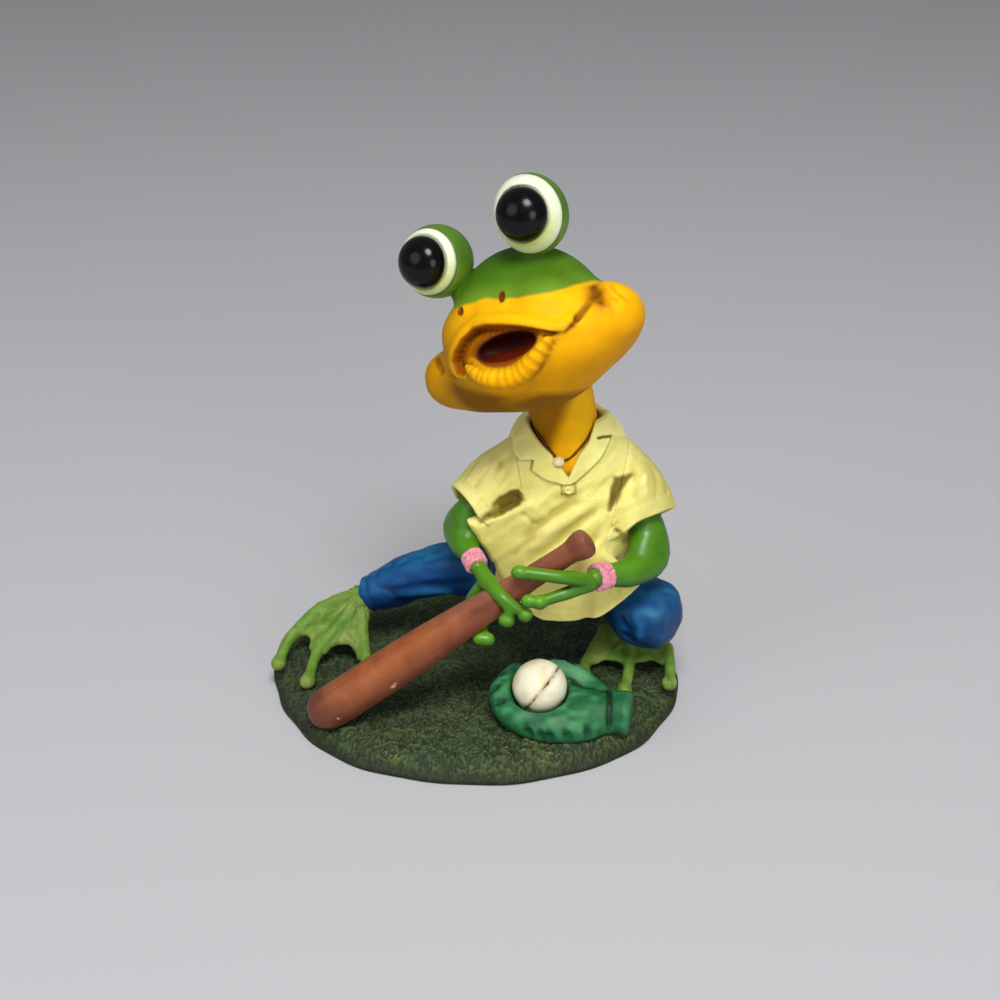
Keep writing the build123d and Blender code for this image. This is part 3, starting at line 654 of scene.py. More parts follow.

# %% [markdown]
# ## The trousers
# The jeans are a seat and two legs, one stretched out and one folded under at the knee. All three
# come from one flowing field, cut apart on planes so that each stays its own piece and the cuts
# read as seams. Creases run along the stretched leg and gather at the cuffs. Painted highlight in a
# lighter blue lies along the tops of the folds, on faces turned up and on raised edges, and painted
# shade in a darker blue in the folds, the hollows and on faces turned down.

# %% Trousers
SEAT = (17.5, 7.0, 23.0)
RIGHT_LEG = [
    (10, 7.5, 22.6, 6.2), (-2, 10, 23.3, 5.9), (-12, 11.2, 20.8, 5.1), (-19, 11.9, 17.2, 4.6),
    (-23.4, 12.4, 15.2, 3.5),
]
LEFT_THIGH = [(24, 6, 22.5, 6.2), (30.4, 1.2, 23.0, 6.3), (34.8, -2.6, 21.0, 5.8)]
LEFT_SHIN = [(35.0, -3.0, 20.4, 5.7), (34.9, 1.6, 17.2, 5.6), (33.2, 6.6, 14.2, 4.7), (32.5, 8.4, 12.9, 4.3)]
KNEE = np.array([35.3, -2.8, 20.1])
KNEE_HALF = np.array([6.9, 6.6, 6.1])
KNEE_SQUARE = 3.2
LEFT_CUT_SLANT = 0.35
KNEE_TURN = turn_about(2, -32) @ turn_about(0, 14)


DENIM_FOLDS = [
    ([(-21, 9.0, 18.4), (-14, 6.6, 20.5), (-5, 4.4, 22.5), (1, 3.6, 23.5)], 1.0, 0.4),
    ([(-20, 8.6, 15.6), (-12, 6.8, 17.0), (-6, 5.4, 17.2), (-1, 4.5, 18.0)], 1.1, 0.8),
    ([(-17, 7.4, 18.0), (-9, 5.6, 19.8), (-3, 4.2, 20.4)], 1.2, -0.6),
    ([(-22, 10.5, 18.4), (-18.5, 8.3, 19.2), (-15.5, 7.0, 17.6)], 0.8, 0.35),
    ([(-20.6, 14, 19.0), (-20.9, 11, 20.4), (-20.9, 9.0, 18.4)], 0.8, 0.35),
    ([(-17.6, 16, 19.5), (-17.8, 12, 22.5), (-18.2, 9.2, 21.2)], 0.8, 0.4),
    ([(-19.2, 13, 22.0), (-19.4, 10, 21.0), (-19.2, 8.2, 18.6)], 0.8, -0.35),
    ([(-8, 12, 26.4), (-2, 8, 28.2), (3, 5, 27.6)], 1.2, 0.5),
    ([(-14, 9.0, 23.6), (-6, 6.5, 26.0), (1, 5, 26.4)], 1.0, -0.45),
    ([(-10, 15, 15.5), (-3, 15.5, 18.0), (4, 14, 19.0)], 1.2, 0.6),
    ([(31.4, -8.4, 24.6), (33.6, -10.0, 20.6), (33.4, -9.2, 16.6)], 0.9, -0.35),
    ([(29.4, -6.6, 22.4), (31.2, -8.6, 19.0), (31.6, -8.2, 15.8)], 0.9, 0.5),
    ([(36.2, -6.2, 26.0), (38.4, -8.2, 22.0), (38.0, -8.0, 17.2)], 0.9, 0.35),
    ([(29.8, -5.6, 18.4), (33.0, -8.4, 15.8), (37.5, -7.8, 14.6)], 0.9, 0.5),
    ([(38.4, -0.5, 25.6), (41.2, -2.0, 21.5), (40.2, -2.4, 16.8)], 0.8, 0.5),
    ([(39.0, 2.0, 24.0), (40.6, 2.0, 20.5), (39.0, 4.5, 16.5)], 0.9, 0.55),
    ([(27, 12, 27), (24, 14.8, 22), (24, 14.5, 17)], 1.2, 0.6),
    ([(12, 15, 27), (11.5, 16.2, 22), (13, 15.5, 17)], 1.2, 0.5),
    ([(18, 16.9, 29), (18.2, 17.2, 23), (18, 15.5, 16)], 0.6, 0.5),
]


def denim_folds(p):
    wave = 0.5 * ripple(p, (7.0, 2.6, 2.6), 41) + 0.25 * ripple(p, (3.0, 1.6, 1.6), 42)
    return wave + creases(p, DENIM_FOLDS)


def trousers(p):
    d = egg(p, SEAT, (12, 9.8, 9.5))
    d = melt(d, limb(p, RIGHT_LEG), 2.5)
    d = melt(d, melt(limb(p, LEFT_THIGH), limb(p, LEFT_SHIN), 1.2), 2.0)
    block = (np.abs((p - KNEE) @ KNEE_TURN) / KNEE_HALF) ** KNEE_SQUARE
    d = melt(d, (block.sum(-1) ** (1 / KNEE_SQUARE) - 1) * 6.0, 1.2)
    return d + denim_folds(p)


def cuff(d, p, stations):
    """Turns a leg's end into an open cuff with a rolled edge."""
    tip, before = np.array(stations[-1][:3]), np.array(stations[-2][:3])
    way = (tip - before) / length(tip - before)
    past = (p - tip) @ way
    away = length(p - tip - past[:, None] * way)
    d = d - 0.12 * swell(past + 0.7, 0.6) + 0.15 * swell(past + 1.9, 0.4)
    d = keep(d, past - 0.35 * np.sin(3 * np.arctan2(p[:, 2] - tip[2], p[:, 1] - tip[1])), 0.35)
    return carve(d, np.maximum(away - stations[-1][3] + 0.9, -past - 1.2), 0.3)


def seat_field(p):
    d = keep(trousers(p), 3.5 - p[:, 0], 0.5)
    return keep(d, p[:, 0] - LEFT_CUT_SLANT * p[:, 1] - 26.5, 0.5)


def right_leg_field(p):
    return cuff(keep(trousers(p), p[:, 0] - 3.4, 0.5), p, RIGHT_LEG)


def left_leg_field(p):
    return cuff(keep(trousers(p), 26.6 - p[:, 0] + LEFT_CUT_SLANT * p[:, 1], 0.5), p, LEFT_SHIN)


denim_finish = finish("denim_paint", 3.0, 0.16, 0.28, 0.1, (0.42, 0.6), 0.035)
for name, field, low, high in (
    ("trouser_seat", seat_field, (2, -4, 12), (32, 19, 34)),
    ("right_trouser_leg", right_leg_field, (-29, 0, 7), (5, 20, 31)),
    ("left_trouser_leg", left_leg_field, (20, -13, 7), (45, 17, 32)),
):
    verts, quads, normals = skin(field, low, high, 0.35)
    up = normals[:, 2]
    streak = speckle(verts, (5.0, 1.0, 1.0), 43)
    folds = denim_folds(verts)
    # Painted light: faces turned down, the folds and the hollows get painted shade, while faces turned up, the
    # fold ridges and the raised edges get painted highlight.
    paint = layers(
        coat(verts, pot(0, 68, 124)),
        ((0, 38, 88), 0.85 * fade(up, -0.5, 0.35)),
        ((14, 94, 138), 0.75 * soft(up, 0.2, 0.95) * soft(streak, 0.2, 0.7)),
        ((52, 126, 160), 0.35 * soft(up, 0.45, 0.9) * soft(streak, 0.55, 0.9)),
        ((4, 34, 84), 0.8 * soft(folds, 0.15, 0.6)),
        ((24, 106, 152), 0.6 * soft(-folds, 0.1, 0.5)),
        ((4, 20, 52), 0.9 * hollow(field, verts, normals, 0.9)),
        ((70, 140, 178), 0.35 * raised(field, verts, normals, 0.5)),
    )
    piece(name + "_cast", verts, quads, paint, denim_finish, "denim_blue", name)

# %% [markdown]
# ## The shirt and its sleeves
# The shirt is one flowing cloth form: oval sections up the body, a short sleeve to each side, and
# long soft folds across the chest. As with the trousers, the sleeves are cut from the same field on
# planes, so the cut becomes the armhole seam. The sleeve mouths and the hem are hollow, because the
# arms and the seat come out of them, and a row of sewing runs round each sleeve.

# %% Shirt
SHIRT_RISE = np.array([18.0, 22.5, 31.5, 43.4, 50.0, 54.0, 57.0, 60.0, 63.0])
SHIRT_X = np.array([18.3, 18.3, 18.4, 18.6, 18.8, 18.8, 18.9, 18.9, 18.9])
SHIRT_Y = np.array([2.4, 2.5, 2.0, 2.8, 3.3, 3.5, 3.6, 3.7, 3.8])
SHIRT_WIDE = np.array([14.2, 14.0, 13.6, 13.2, 13.0, 12.2, 10.6, 8.2, 6.5])
SHIRT_DEEP = np.array([12.3, 12.0, 11.4, 10.2, 9.5, 8.9, 8.2, 7.2, 6.0])
RIGHT_SLEEVE = [(9.5, 3.8, 50.0, 6.3), (4.7, 1.3, 47.9, 6.3), (-0.7, -1.7, 43.1, 6.2)]
LEFT_SLEEVE = [(28.2, 3.8, 50.0, 6.3), (32.2, 0.7, 46.5, 6.4), (34.5, -2.8, 41.0, 6.8)]
RIGHT_WAY = np.array([-0.754, -0.41, -0.508])
LEFT_WAY = np.array([0.49, -0.515, -0.703])
RIGHT_MOUTH = np.array([0.3, -1.2, 43.8]) + 1.2 * RIGHT_WAY
LEFT_MOUTH = np.array([34.2, -2.5, 41.4]) + 0.5 * LEFT_WAY


def smooth_rise(z, values):
    """Values up the body, rounded between the sections."""
    below, here, above = (np.interp(z + step, SHIRT_RISE, values) for step in (-2, 0, 2))
    return (below + 2 * here + above) / 4


def body_form(p):
    z = p[:, 2]
    wide, deep = smooth_rise(z, SHIRT_WIDE), smooth_rise(z, SHIRT_DEEP)
    reach = np.hypot((p[:, 0] - smooth_rise(z, SHIRT_X)) / wide, (p[:, 1] - smooth_rise(z, SHIRT_Y)) / deep)
    return (reach - 1) * np.minimum(wide, deep)


FRONT_FOLDS = [
    ([(22.9, 48.4), (19.1, 47.2), (15.4, 44.6), (11.7, 41.1), (9.2, 37.7)], 1.1, 0.9),
    ([(24.5, 46.9), (20.0, 45.2), (15.8, 42.2), (12.4, 38.6)], 1.2, -0.5),
    ([(27.0, 51.4), (22.8, 49.8), (19.0, 48.9), (14.0, 47.5)], 0.9, 0.5),
    ([(27.0, 47.6), (22.9, 44.5), (18.2, 41.0), (13.6, 37.0), (9.2, 34.6)], 1.2, 0.85),
    ([(25.5, 44.4), (21.0, 40.8), (16.2, 36.8), (11.8, 33.4)], 1.2, -0.4),
    ([(14.8, 41.8), (10.4, 38.1), (6.6, 33.6)], 0.8, 0.5),
    ([(26.5, 43.0), (22.5, 38.0), (17.0, 33.5), (12.0, 31.0)], 1.2, 0.55),
    ([(9.6, 47.5), (12.5, 46.2), (15.0, 43.0)], 1.0, -0.4),
    ([(8.8, 45.4), (11.0, 44.0), (12.6, 41.6)], 0.7, 0.5),
    ([(26.8, 50.0), (25.8, 46.0), (25.2, 41.0)], 1.0, -0.4),
    ([(28.0, 41.5), (29.6, 39.8), (30.6, 36.6)], 0.8, 0.8),
    ([(26.5, 41.0), (27.8, 38.0), (28.2, 33.0)], 1.0, -0.45),
    ([(26.4, 35.5), (28.6, 31.5), (29.6, 27.5)], 0.9, 0.5),
    ([(24.5, 29.0), (18.0, 26.8), (11.5, 28.6)], 1.2, 0.4),
    ([(12.0, 26.4), (16.5, 24.7), (22.0, 24.3)], 0.6, 0.3),
]
BACK_FOLDS = [
    ([(10, 49), (14, 44), (16, 36), (15, 28)], 1.5, 0.8),
    ([(28, 49), (24, 43), (22.5, 36), (23.5, 27)], 1.5, 0.8),
    ([(11, 53), (18.5, 51), (26.5, 53)], 1.3, 0.5),
    ([(12, 33), (18, 30), (25, 32)], 1.6, 0.5),
    ([(12, 44), (13, 38), (11, 30)], 1.3, -0.4),
    ([(26, 45), (25.5, 38), (27, 30)], 1.3, -0.4),
]


def shirt_folds(p):
    x, y, z = p.T
    flat = p[:, [0, 2]]
    front = soft(-y, -3.0, 0.5)
    slant = np.column_stack([0.8 * x + 0.6 * z, 0.8 * z - 0.6 * x, y])
    fine = 0.5 * ripple(slant, (7.0, 1.3, 4.0), 52)
    chest = 0.6 * creases(flat, FRONT_FOLDS) + fine
    back = creases(flat, BACK_FOLDS) + 0.6 * fine
    return front * chest + (1 - front) * back


def plain_cloth(p):
    return melt(melt(body_form(p), limb(p, RIGHT_SLEEVE), 2.2), limb(p, LEFT_SLEEVE), 2.2)


SLEEVE_FOLDS = [
    (settle(line, plain_cloth), width, depth)
    for line, width, depth in (
        ([(6.3, -0.4, 54.0), (4.7, -2.4, 51.8), (2.5, -4.8, 48.8)], 0.5, 0.32),
        ([(4.1, -1.1, 52.6), (1.9, -2.8, 50.7), (0.0, -4.6, 48.7)], 0.5, 0.3),
        ([(7.6, -1.4, 53.4), (6.6, -2.8, 51.4), (4.6, -4.8, 48.9)], 0.5, 0.32),
        ([(2.0, 1.5, 53.0), (-0.5, -0.5, 51.4), (-2.4, -2.6, 48.9)], 0.5, 0.2),
        ([(5.4, -1.2, 53.4), (3.4, -3.6, 50.4), (1.4, -5.2, 48.4)], 0.6, -0.25),
        ([(31.4, -1.0, 53.2), (32.0, -4.0, 49.8), (31.7, -6.4, 46.8)], 0.6, 0.3),
        ([(33.0, -1.0, 52.4), (33.8, -4.0, 48.8), (33.6, -6.4, 46.2)], 0.8, -0.3),
        ([(34.6, 0.5, 51.4), (35.5, -2.5, 48.8), (35.4, -5.6, 46.8)], 0.5, 0.28),
        ([(36.4, 1.8, 50.4), (37.4, -1.2, 47.8), (37.2, -3.6, 45.8)], 0.5, 0.25),
        ([(8, 9.8, 52), (3.5, 7.2, 50), (-1, 4.5, 47)], 0.9, 0.4),
        ([(30, 9.6, 51), (34.5, 6.2, 48.6), (38, 2.5, 45.5)], 0.9, 0.4),
    )
]


def clothed(p):
    return plain_cloth(p) + shirt_folds(p) + creases(p, SLEEVE_FOLDS)


POCKET_SLANT = 0.52
RIGHT_POCKET = [
    (5.0, 48.6), (7.2, 50.0), (8.9, 50.3), (9.7, 49.2), (10.3, 47.9), (9.2, 46.8), (5.7, 44.7),
    (1.3, 42.2), (0.7, 43.3), (3.4, 46.0),
]
LEFT_POCKET = [
    (27.9, 52.8), (31.4, 53.7), (30.2, 52.2), (29.2, 50.4), (28.3, 47.8), (27.2, 45.3), (26.7, 45.6),
    (27.1, 49.4),
]


def pockets(p):
    """How deep the two shaded hollows under the sleeves lie, cut along a slant from the front."""
    x, y, z = p.T
    flat = np.column_stack([x, z + POCKET_SLANT * (y + 6.5)])
    rough = 0.5 * ripple(p, 1.2, 53)
    right = (0.5 + 0.9 * soft(x, 1.0, 6.0)) * soft(-outline(flat, RIGHT_POCKET) + rough, -0.4, 1.1)
    left = 0.6 * soft(-outline(flat, LEFT_POCKET) + rough, -0.9, 0.8)
    return (right + left) * (y < 0)


RIGHT_SEAM = (np.array([9.0, -2.5, 52.0]), np.array([-0.985, -0.1, -0.14]), 0.25)
LEFT_SEAM = (np.array([29.6, -2.5, 51.5]), np.array([0.975, -0.1, -0.2]), 0.1)
V_OPENING = [
    (11.2, 61.5), (13.0, 58.6), (15.6, 56.6), (18.7, 52.7), (20.7, 56.8), (22.6, 59.2), (23.8, 62.0), (24, 70),
    (10, 70),
]
PLACKET = [(17.4, 51.6), (17.4, 49.0), (20.1, 49.2), (19.9, 51.6)]
HEM_REST = 22.0
HEM_X = [18, 21.5, 23.5, 25.6, 27.8, 30, 31.6, 33.3, 35]
HEM_LIFT = [0, 0.2, 0.7, 1.8, 3.4, 5.2, 7.0, 9.2, 11.5]
NECK_FOOT = np.array([18.8, 3.5, 56.0])
NECK_HOLE = 7.0
NECK_LEAN = 0.35
NECK_CUT = 58.6
UNDERARM = 48
SEAT_ROOM = 31


def hem_height(p):
    x, y, _ = p.T
    lift = 4.2 * soft(14.5 - x, 0, 9) * soft(-y, -8, 2)
    lift = lift + np.interp(x, HEM_X, HEM_LIFT) * soft(-y, 1, 5)
    lift = lift + 6.0 * soft(x, 20.5, 26.5) * soft(y, -1, 3)
    return HEM_REST + lift + 0.1 * np.sin(0.9 * x)


def shirt_field(p):
    x, y, z = p.T
    flat = p[:, [0, 2]]
    dent, folds, body = pockets(p), shirt_folds(p), body_form(p)
    d = clothed(p) + dent
    for spot, way, edge in (RIGHT_SEAM, LEFT_SEAM):
        d = keep(d, (p - spot) @ way, edge)
    d = np.where(z < UNDERARM, melt(d, body + folds + dent, 0.4), d)
    panel = sheet(p, (0.7, -5.0, 42.0), (12.0, -4.8, 46.0), (8.0, -3.0, 27.5), 1.5)
    d = melt(d, panel + 0.6 * folds + dent, 2.4)
    flare = sheet(p, (25.0, -7.0, 36.0), (33.2, -9.4, 31.4), (25.0, -9.6, 23.0), 0.9)
    d = melt(d, flare, 2.4)
    d = melt(d, egg(p, (29.6, 1.2, 37.5), (4.2, 5.6, 6.5)), 2.0)
    d = melt(d, egg(p, (3.6, -4.6, 45.0), (1.8, 1.3, 1.6)), 0.4)
    d = keep(d, z - NECK_CUT - 0.15 * (y - NECK_FOOT[1]), 0.4)
    d = carve(d, np.maximum(outline(flat, V_OPENING), y - 5), 0.3)
    away = np.hypot(x - NECK_FOOT[0], y - NECK_FOOT[1] + NECK_LEAN * np.clip(z - NECK_FOOT[2], 0, None))
    d = carve(d, np.maximum(away - NECK_HOLE, UNDERARM - z), 0.3)
    hem = hem_height(p)
    d = d - 0.2 * swell(z - hem - 0.5, 0.5)
    tab = np.where(y < -2, outline(flat, PLACKET), 9)
    d = d - 0.3 * fade(tab, -0.1, 0.15)
    d = keep(d, hem - z, 0.3)
    return carve(d, np.maximum(body + 1.1, z - SEAT_ROOM), 0.4)


def sleeve_field(mouth, way, stations, seam):
    def field(p):
        past = (p - mouth) @ way
        x, y, z = (p - mouth).T
        spot, out, edge = seam
        d = keep(clothed(p) + pockets(p), -((p - spot) @ out), edge)
        d = keep(d, past - 0.3 * np.sin(2.2 * np.arctan2(z, x)), 0.35)
        stitch = 0.2 * swell(past + 2.3, 0.24) * (0.8 + 0.2 * np.sin(33 * np.arctan2(z, y)))
        d = d + stitch - 0.1 * swell(past + 1.1, 0.9)
        return carve(d, np.maximum(limb(p, stations) + 1.0, -past - 2.4), 0.4)

    return field


cloth_finish = finish("shirt_paint", 2.4, 0.05, 0.3, 0.05, (0.55, 0.75), 0.05, sheen=0.05)
right_sleeve_field = sleeve_field(RIGHT_MOUTH, RIGHT_WAY, RIGHT_SLEEVE, RIGHT_SEAM)
left_sleeve_field = sleeve_field(LEFT_MOUTH, LEFT_WAY, LEFT_SLEEVE, LEFT_SEAM)


def paint_cloth(field, verts, normals):
    up = normals[:, 2]
    streak = speckle(verts, (3.0, 3.0, 1.2), 51)
    folds = shirt_folds(verts) + creases(verts, SLEEVE_FOLDS)
    # All rows after the base coat are painted light: highlight on faces turned up, on fold ridges and on raised
    # edges, and shade on faces turned down, over the left sleeve, in the folds and in the hollows.
    return layers(
        coat(verts, pot(238, 228, 128)),
        ((244, 236, 146), 0.6 * soft(up, 0.1, 0.85)),
        ((194, 178, 72), 0.6 * fade(up, -0.7, 0.2) * soft(streak, 0.1, 0.8)),
        ((184, 174, 90), 0.85 * soft(verts[:, 0], 29, 36) * soft(up, -0.2, 0.5)),
        ((186, 170, 68), 0.75 * soft(folds, 0.08, 0.5)),
        ((250, 244, 168), 0.6 * soft(-folds, 0.1, 0.4)),
        ((170, 152, 50), 0.8 * hollow(field, verts, normals, 1.4)),
        ((112, 96, 22), 0.9 * soft(hollow(field, verts, normals, 0.8), 0.3, 0.95)),
        ((252, 247, 176), 0.5 * raised(field, verts, normals, 0.5)),
    )


RIGHT_LAPEL = [
    (8.2, 60.0), (7.7, 57.0), (8.0, 55.6), (9.2, 54.9), (11.9, 55.6), (11.5, 53.4), (14.1, 52.1), (17.5, 51.3),
    (19.1, 51.3), (18.7, 52.8), (16.3, 55.7), (15.4, 56.9), (13.0, 58.8), (10.6, 61.0),
]
LEFT_LAPEL = [
    (19.1, 51.3), (20.0, 51.7), (22.4, 53.7), (25.0, 55.9), (26.2, 57.6), (27.3, 59.3), (27.9, 60.6),
    (27.2, 62.5), (23.9, 62.5), (22.6, 59.1), (20.7, 57.0), (18.7, 52.8),
]


def lapels(flat):
    return np.minimum(outline(flat, RIGHT_LAPEL), outline(flat, LEFT_LAPEL))


SHIRT_PARTS = (
    ("shirt", shirt_field, (-3, -12.5, 20), (36, 17, 62)),
    ("right_sleeve", right_sleeve_field, (-8, -11, 36), (11, 12, 57)),
    ("left_sleeve", left_sleeve_field, (26, -13, 34), (43, 12, 57)),
)
for name, field, low, high in SHIRT_PARTS:
    verts, quads, normals = skin(field, low, high, 0.32)
    dent = pockets(verts)
    # Painted shade in the hollows under the sleeves, darker under the left sleeve.
    paint = layers(
        paint_cloth(field, verts, normals),
        ((140, 122, 28), 0.92 * soft(dent, 0.02, 0.6)),
        ((108, 92, 14), 0.8 * soft(dent, 0.1, 0.5) * (verts[:, 0] > 22)),
    )
    if name == "shirt":
        flat, y = verts[:, [0, 2]], verts[:, 1]
        tab_edge = np.abs(off_line(flat, PLACKET) - 0.05) + (y > -2)
        # A darker line round the placket tab, and painted shade on the shirt along the collar's edge.
        paint = layers(
            paint,
            ((150, 134, 50), 0.6 * fade(tab_edge, 0.1, 0.4)),
            ((130, 114, 36), 0.75 * fade(lapels(flat), 0.1, 0.6) * (y < 4)),
        )
    piece(name + "_cast", verts, quads, paint, cloth_finish, "shirt_yellow", name)

# %% [markdown]
# ## The collar and the button
# The collar is a flat band lying on the shirt: two lapels that meet under the bead, and a folded
# leaf round the back of the neck. The right lapel's notch is cut, and the left one's is painted, a
# dark dash of painted shadow. The lapels are a thin layer over the shirt's own surface, trimmed to an
# outline seen from the front, so they follow every fold under them.

# %% Collar
NECK_UP = np.array([0, -0.447, 0.894])


LEAF_TOP, LEAF_OUT, LEAF_IN = (8.1, 3.6), (11.3, -0.9), (7.6, 0.0)
LEAF_HALF_THICK = 0.55
NOTCH = [(24.4, 59.7), (25.7, 59.6), (27.0, 59.2)]


def collar_field(p):
    layer = np.abs(clothed(p) - 0.35) - 0.55
    front = keep(keep(layer, lapels(p[:, [0, 2]]), 0.35), p[:, 1] - 4.5, 0.3)
    rise = (p - NECK_FOOT) @ NECK_UP
    profile = np.column_stack([length(p - NECK_FOOT - rise[:, None] * NECK_UP), rise])
    leaf = off_line(profile, [LEAF_OUT, LEAF_TOP, LEAF_IN]) - LEAF_HALF_THICK
    return melt(front, keep(leaf, 1.6 - p[:, 1], 0.4), 0.6)


verts, quads, normals = skin(collar_field, (5, -9, 48), (32, 17, 66), 0.26)
notch = fade(off_line(verts[:, [0, 2]], NOTCH), 0.15, 0.35) * (verts[:, 1] < 3)
# The collar takes the shirt's painted light, plus a painted highlight over its left part and the left lapel's
# notch as a painted shadow.
paint = layers(
    paint_cloth(collar_field, verts, normals),
    ((255, 250, 156), 0.8 * soft(verts[:, 0], 20, 24)),
    ((104, 90, 20), notch * soft(normals[:, 2] - normals[:, 1], 0.0, 0.4)),
)
piece("collar_cast", verts, quads, paint, cloth_finish, "shirt_yellow", "collar")

BUTTON = np.array([18.75, -6.55, 50.2])
BUTTON_TURN = turn_about(0, -14)


def button_field(p):
    x, y, z = ((p - BUTTON) @ BUTTON_TURN).T
    away = np.hypot(x, z)
    disc = np.maximum(away - 0.7, np.abs(y) - 0.3)
    rim = np.hypot(away - 0.62, y + 0.2) - 0.16
    holes = np.hypot(np.abs(x) - 0.22, z) - 0.1
    return carve(melt(disc, rim, 0.2), np.maximum(holes, y - 0.1), 0.05)


verts, quads, normals = skin(button_field, (17, -8, 48.5), (20.5, -5, 52), 0.09)
# Painted shade in the button's holes and round its rim.
paint = brush(
    coat(verts, pot(240, 230, 132)), pot(160, 142, 60), 0.7 * hollow(button_field, verts, normals, 0.3)
)
piece("button_cast", verts, quads, paint, cloth_finish, "button_yellow", "shirt_button")

# %% [markdown]
# ## The head
# The head is tipped back and to one side, so it is sculpted level in its own frame and then turned
# into place. The skull, jaw, cheeks and muzzle melt together. The upper lip is a ridge laid along a
# line of points, the mouth is carved under it, and the lower lip is a wrinkled roll. The green
# of the skin ends above the nostrils, and the rest of the face is orange yellow, with brown painted
# shade in the mouth line, the corners and other hollows, under the lip ridge and the chin, and over
# the left side of the face.

# %% Head
HEAD_TURN = turn_about(2, -28) @ turn_about(0, -11) @ turn_about(1, -30.5)
HEAD_CENTRE = np.array([11.4, -5.9, 83.0])


def on_neck(q):
    """Turns points from the head's own frame into place."""
    return q @ HEAD_TURN.T + HEAD_CENTRE


def head_mass(q):
    d = melt(egg(q, (0, 0.5, 1.0), (15.2, 13.5, 15.2)), egg(q, (0.5, -1.5, -3.2), (22.4, 13, 9.9)), 3.0)
    d = melt(d, egg(q, (0, -12.6, -1.6), (10.2, 4.8, 6.0)), 3.0)
    for s in (-1, 1):
        d = melt(d, egg(q, (s * 8.6, -7.4, 3.0), (5.2, 5.4, 6.0)), 2.5)
        d = melt(d, egg(q, (s * 18.4, -3.6, -2.2), (4.4, 5.2, 4.9)), 2.5)
        d = melt(d, limb(q, [(s * 6.2, -1.5, 8, 4.4), (s * 9.2, -3.6, 15.0, 2.7)], 0), 1.4)
    return d


UPPER_LIP = settle(
    [(-8.0, -15.4, -3.0), (-10.0, -14.0, -1.9), (-10.6, -13.3, 0.0), (-9.2, -13.7, 1.7),
     (-6.6, -13.5, 3.6), (-3.4, -13.2, 4.6),
     (0, -14.4, 4.2), (3.2, -15, 3.1), (6.0, -15.1, 1.9), (8.5, -14.8, 0.5), (10.5, -13.9, -1.1),
     (12.5, -12.7, -2.0),
     (14.2, -11.6, -1.6)],
    head_mass, -0.2,
)
UPPER_LIP = np.column_stack([UPPER_LIP, [0.5, 0.8, 1.0, 1.1, 1.15, 1.2, 1.25, 1.25, 1.2, 1.1, 1.0, 0.8, 0.5]])
LOWER_LIP = settle(
    [(-6.3, -16.4, -1.9), (-5.5, -16.5, -3.2), (-4.3, -16.3, -4.7), (-2.4, -16.1, -5.8),
     (0.0, -15.6, -6.6), (2.4, -15.4, -6.7),
     (4.9, -15.4, -6.0), (7.3, -15.3, -4.6), (9.2, -14.8, -3.2), (10.4, -14.2, -2.2)],
    head_mass, 0.0,
)
LOWER_LIP = np.column_stack([LOWER_LIP, [0.6, 1.1, 1.5, 1.75, 1.85, 1.85, 1.75, 1.5, 1.1, 0.5]])
UNDER_LIP = settle(LOWER_LIP[1:-1, :3] + (0.0, 0.6, -2.1), head_mass)
RIGHT_MOUTH_LINE = settle(
    [(8.6, -15.0, -1.0), (10.4, -14.0, -1.9), (12.5, -12.5, -2.5), (14.0, -11.7, -2.0),
     (15.8, -10.3, -0.7), (17.3, -8.9, 0.6),
     (18.2, -7.6, 1.8)],
    head_mass,
)
RIGHT_STEP = settle(RIGHT_MOUTH_LINE[1:-2] + (-0.5, 0.0, 1.1), head_mass)
RIGHT_CORNER = settle([(17.7, -5.6, 3.0), (18.3, -7.3, 1.9), (18.9, -8.1, 1.0), (19.6, -8.7, -0.5)], head_mass)
LEFT_CORNER = settle([(-17.2, -7.0, 2.0), (-16.6, -8.6, 0.8), (-15.6, -9.8, -0.6)], head_mass)
LEFT_MOUTH_LINE = settle(
    [(-9.6, -14.4, -2.6), (-12.0, -12.6, -1.9), (-14.0, -11.2, -1.2), (-15.4, -10.0, -0.6), (-16.6, -8.4, 1.0)],
    head_mass,
)
CHEEK_LINES = [
    settle(line, head_mass)
    for line in (
        [(19.5, -7.6, 1.2), (20.3, -8.2, -0.6), (20.6, -8.4, -2.6)],
        [(20.0, -6.8, 2.0), (20.9, -7.2, 0.4), (21.6, -7.2, -1.0)],
        [(20.9, -5.3, 2.1), (21.9, -5.8, 0.6), (22.6, -5.6, -1.8)],
        [(-18.2, -6.6, 1.0), (-19.8, -6.0, -0.6), (-20.6, -5.4, -2.6)],
        [(-19.6, -4.8, 1.6), (-21.0, -4.2, 0.2), (-21.8, -3.8, -1.6)],
    )
]
NOSTRILS = settle([(2.8, -11, 7.3), (-6.6, -9.9, 7.5)], head_mass)
NOSTRIL_TURNS = (turn_about(1, 12), turn_about(1, -18))
MOUTH_TILT = turn_about(1, 5)
FACE_FOLDS = [
    (UNDER_LIP, 0.9, 0.4, 0.3),
    (RIGHT_STEP, 1.2, -0.4, 0.35),
    (RIGHT_MOUTH_LINE, 0.6, 0.6, 0.05),
    (LEFT_MOUTH_LINE, 0.6, 0.5, 0.05),
    *[(line, 0.55, 0.5, 0.5) for line in CHEEK_LINES],
    (RIGHT_CORNER, 1.0, 1.3, 0.35),
    (LEFT_CORNER, 0.6, 0.6, 0.3),
]
BOWL = [
    (-10.0, -2.2), (-10.3, 0.0), (-9.0, 1.6), (-6.6, 3.3), (-3.4, 4.4), (0, 4.0), (3.2, 2.9),
    (6.0, 1.7), (8.5, 0.3), (10.5, -1.3),
    (11.6, -2.2), (9.2, -3.2), (7.0, -4.6), (4.5, -6.0), (1.5, -6.8), (-1.0, -6.7), (-3.0, -5.6),
    (-5.0, -4.2), (-6.5, -3.2), (-8.4, -3.2),
]


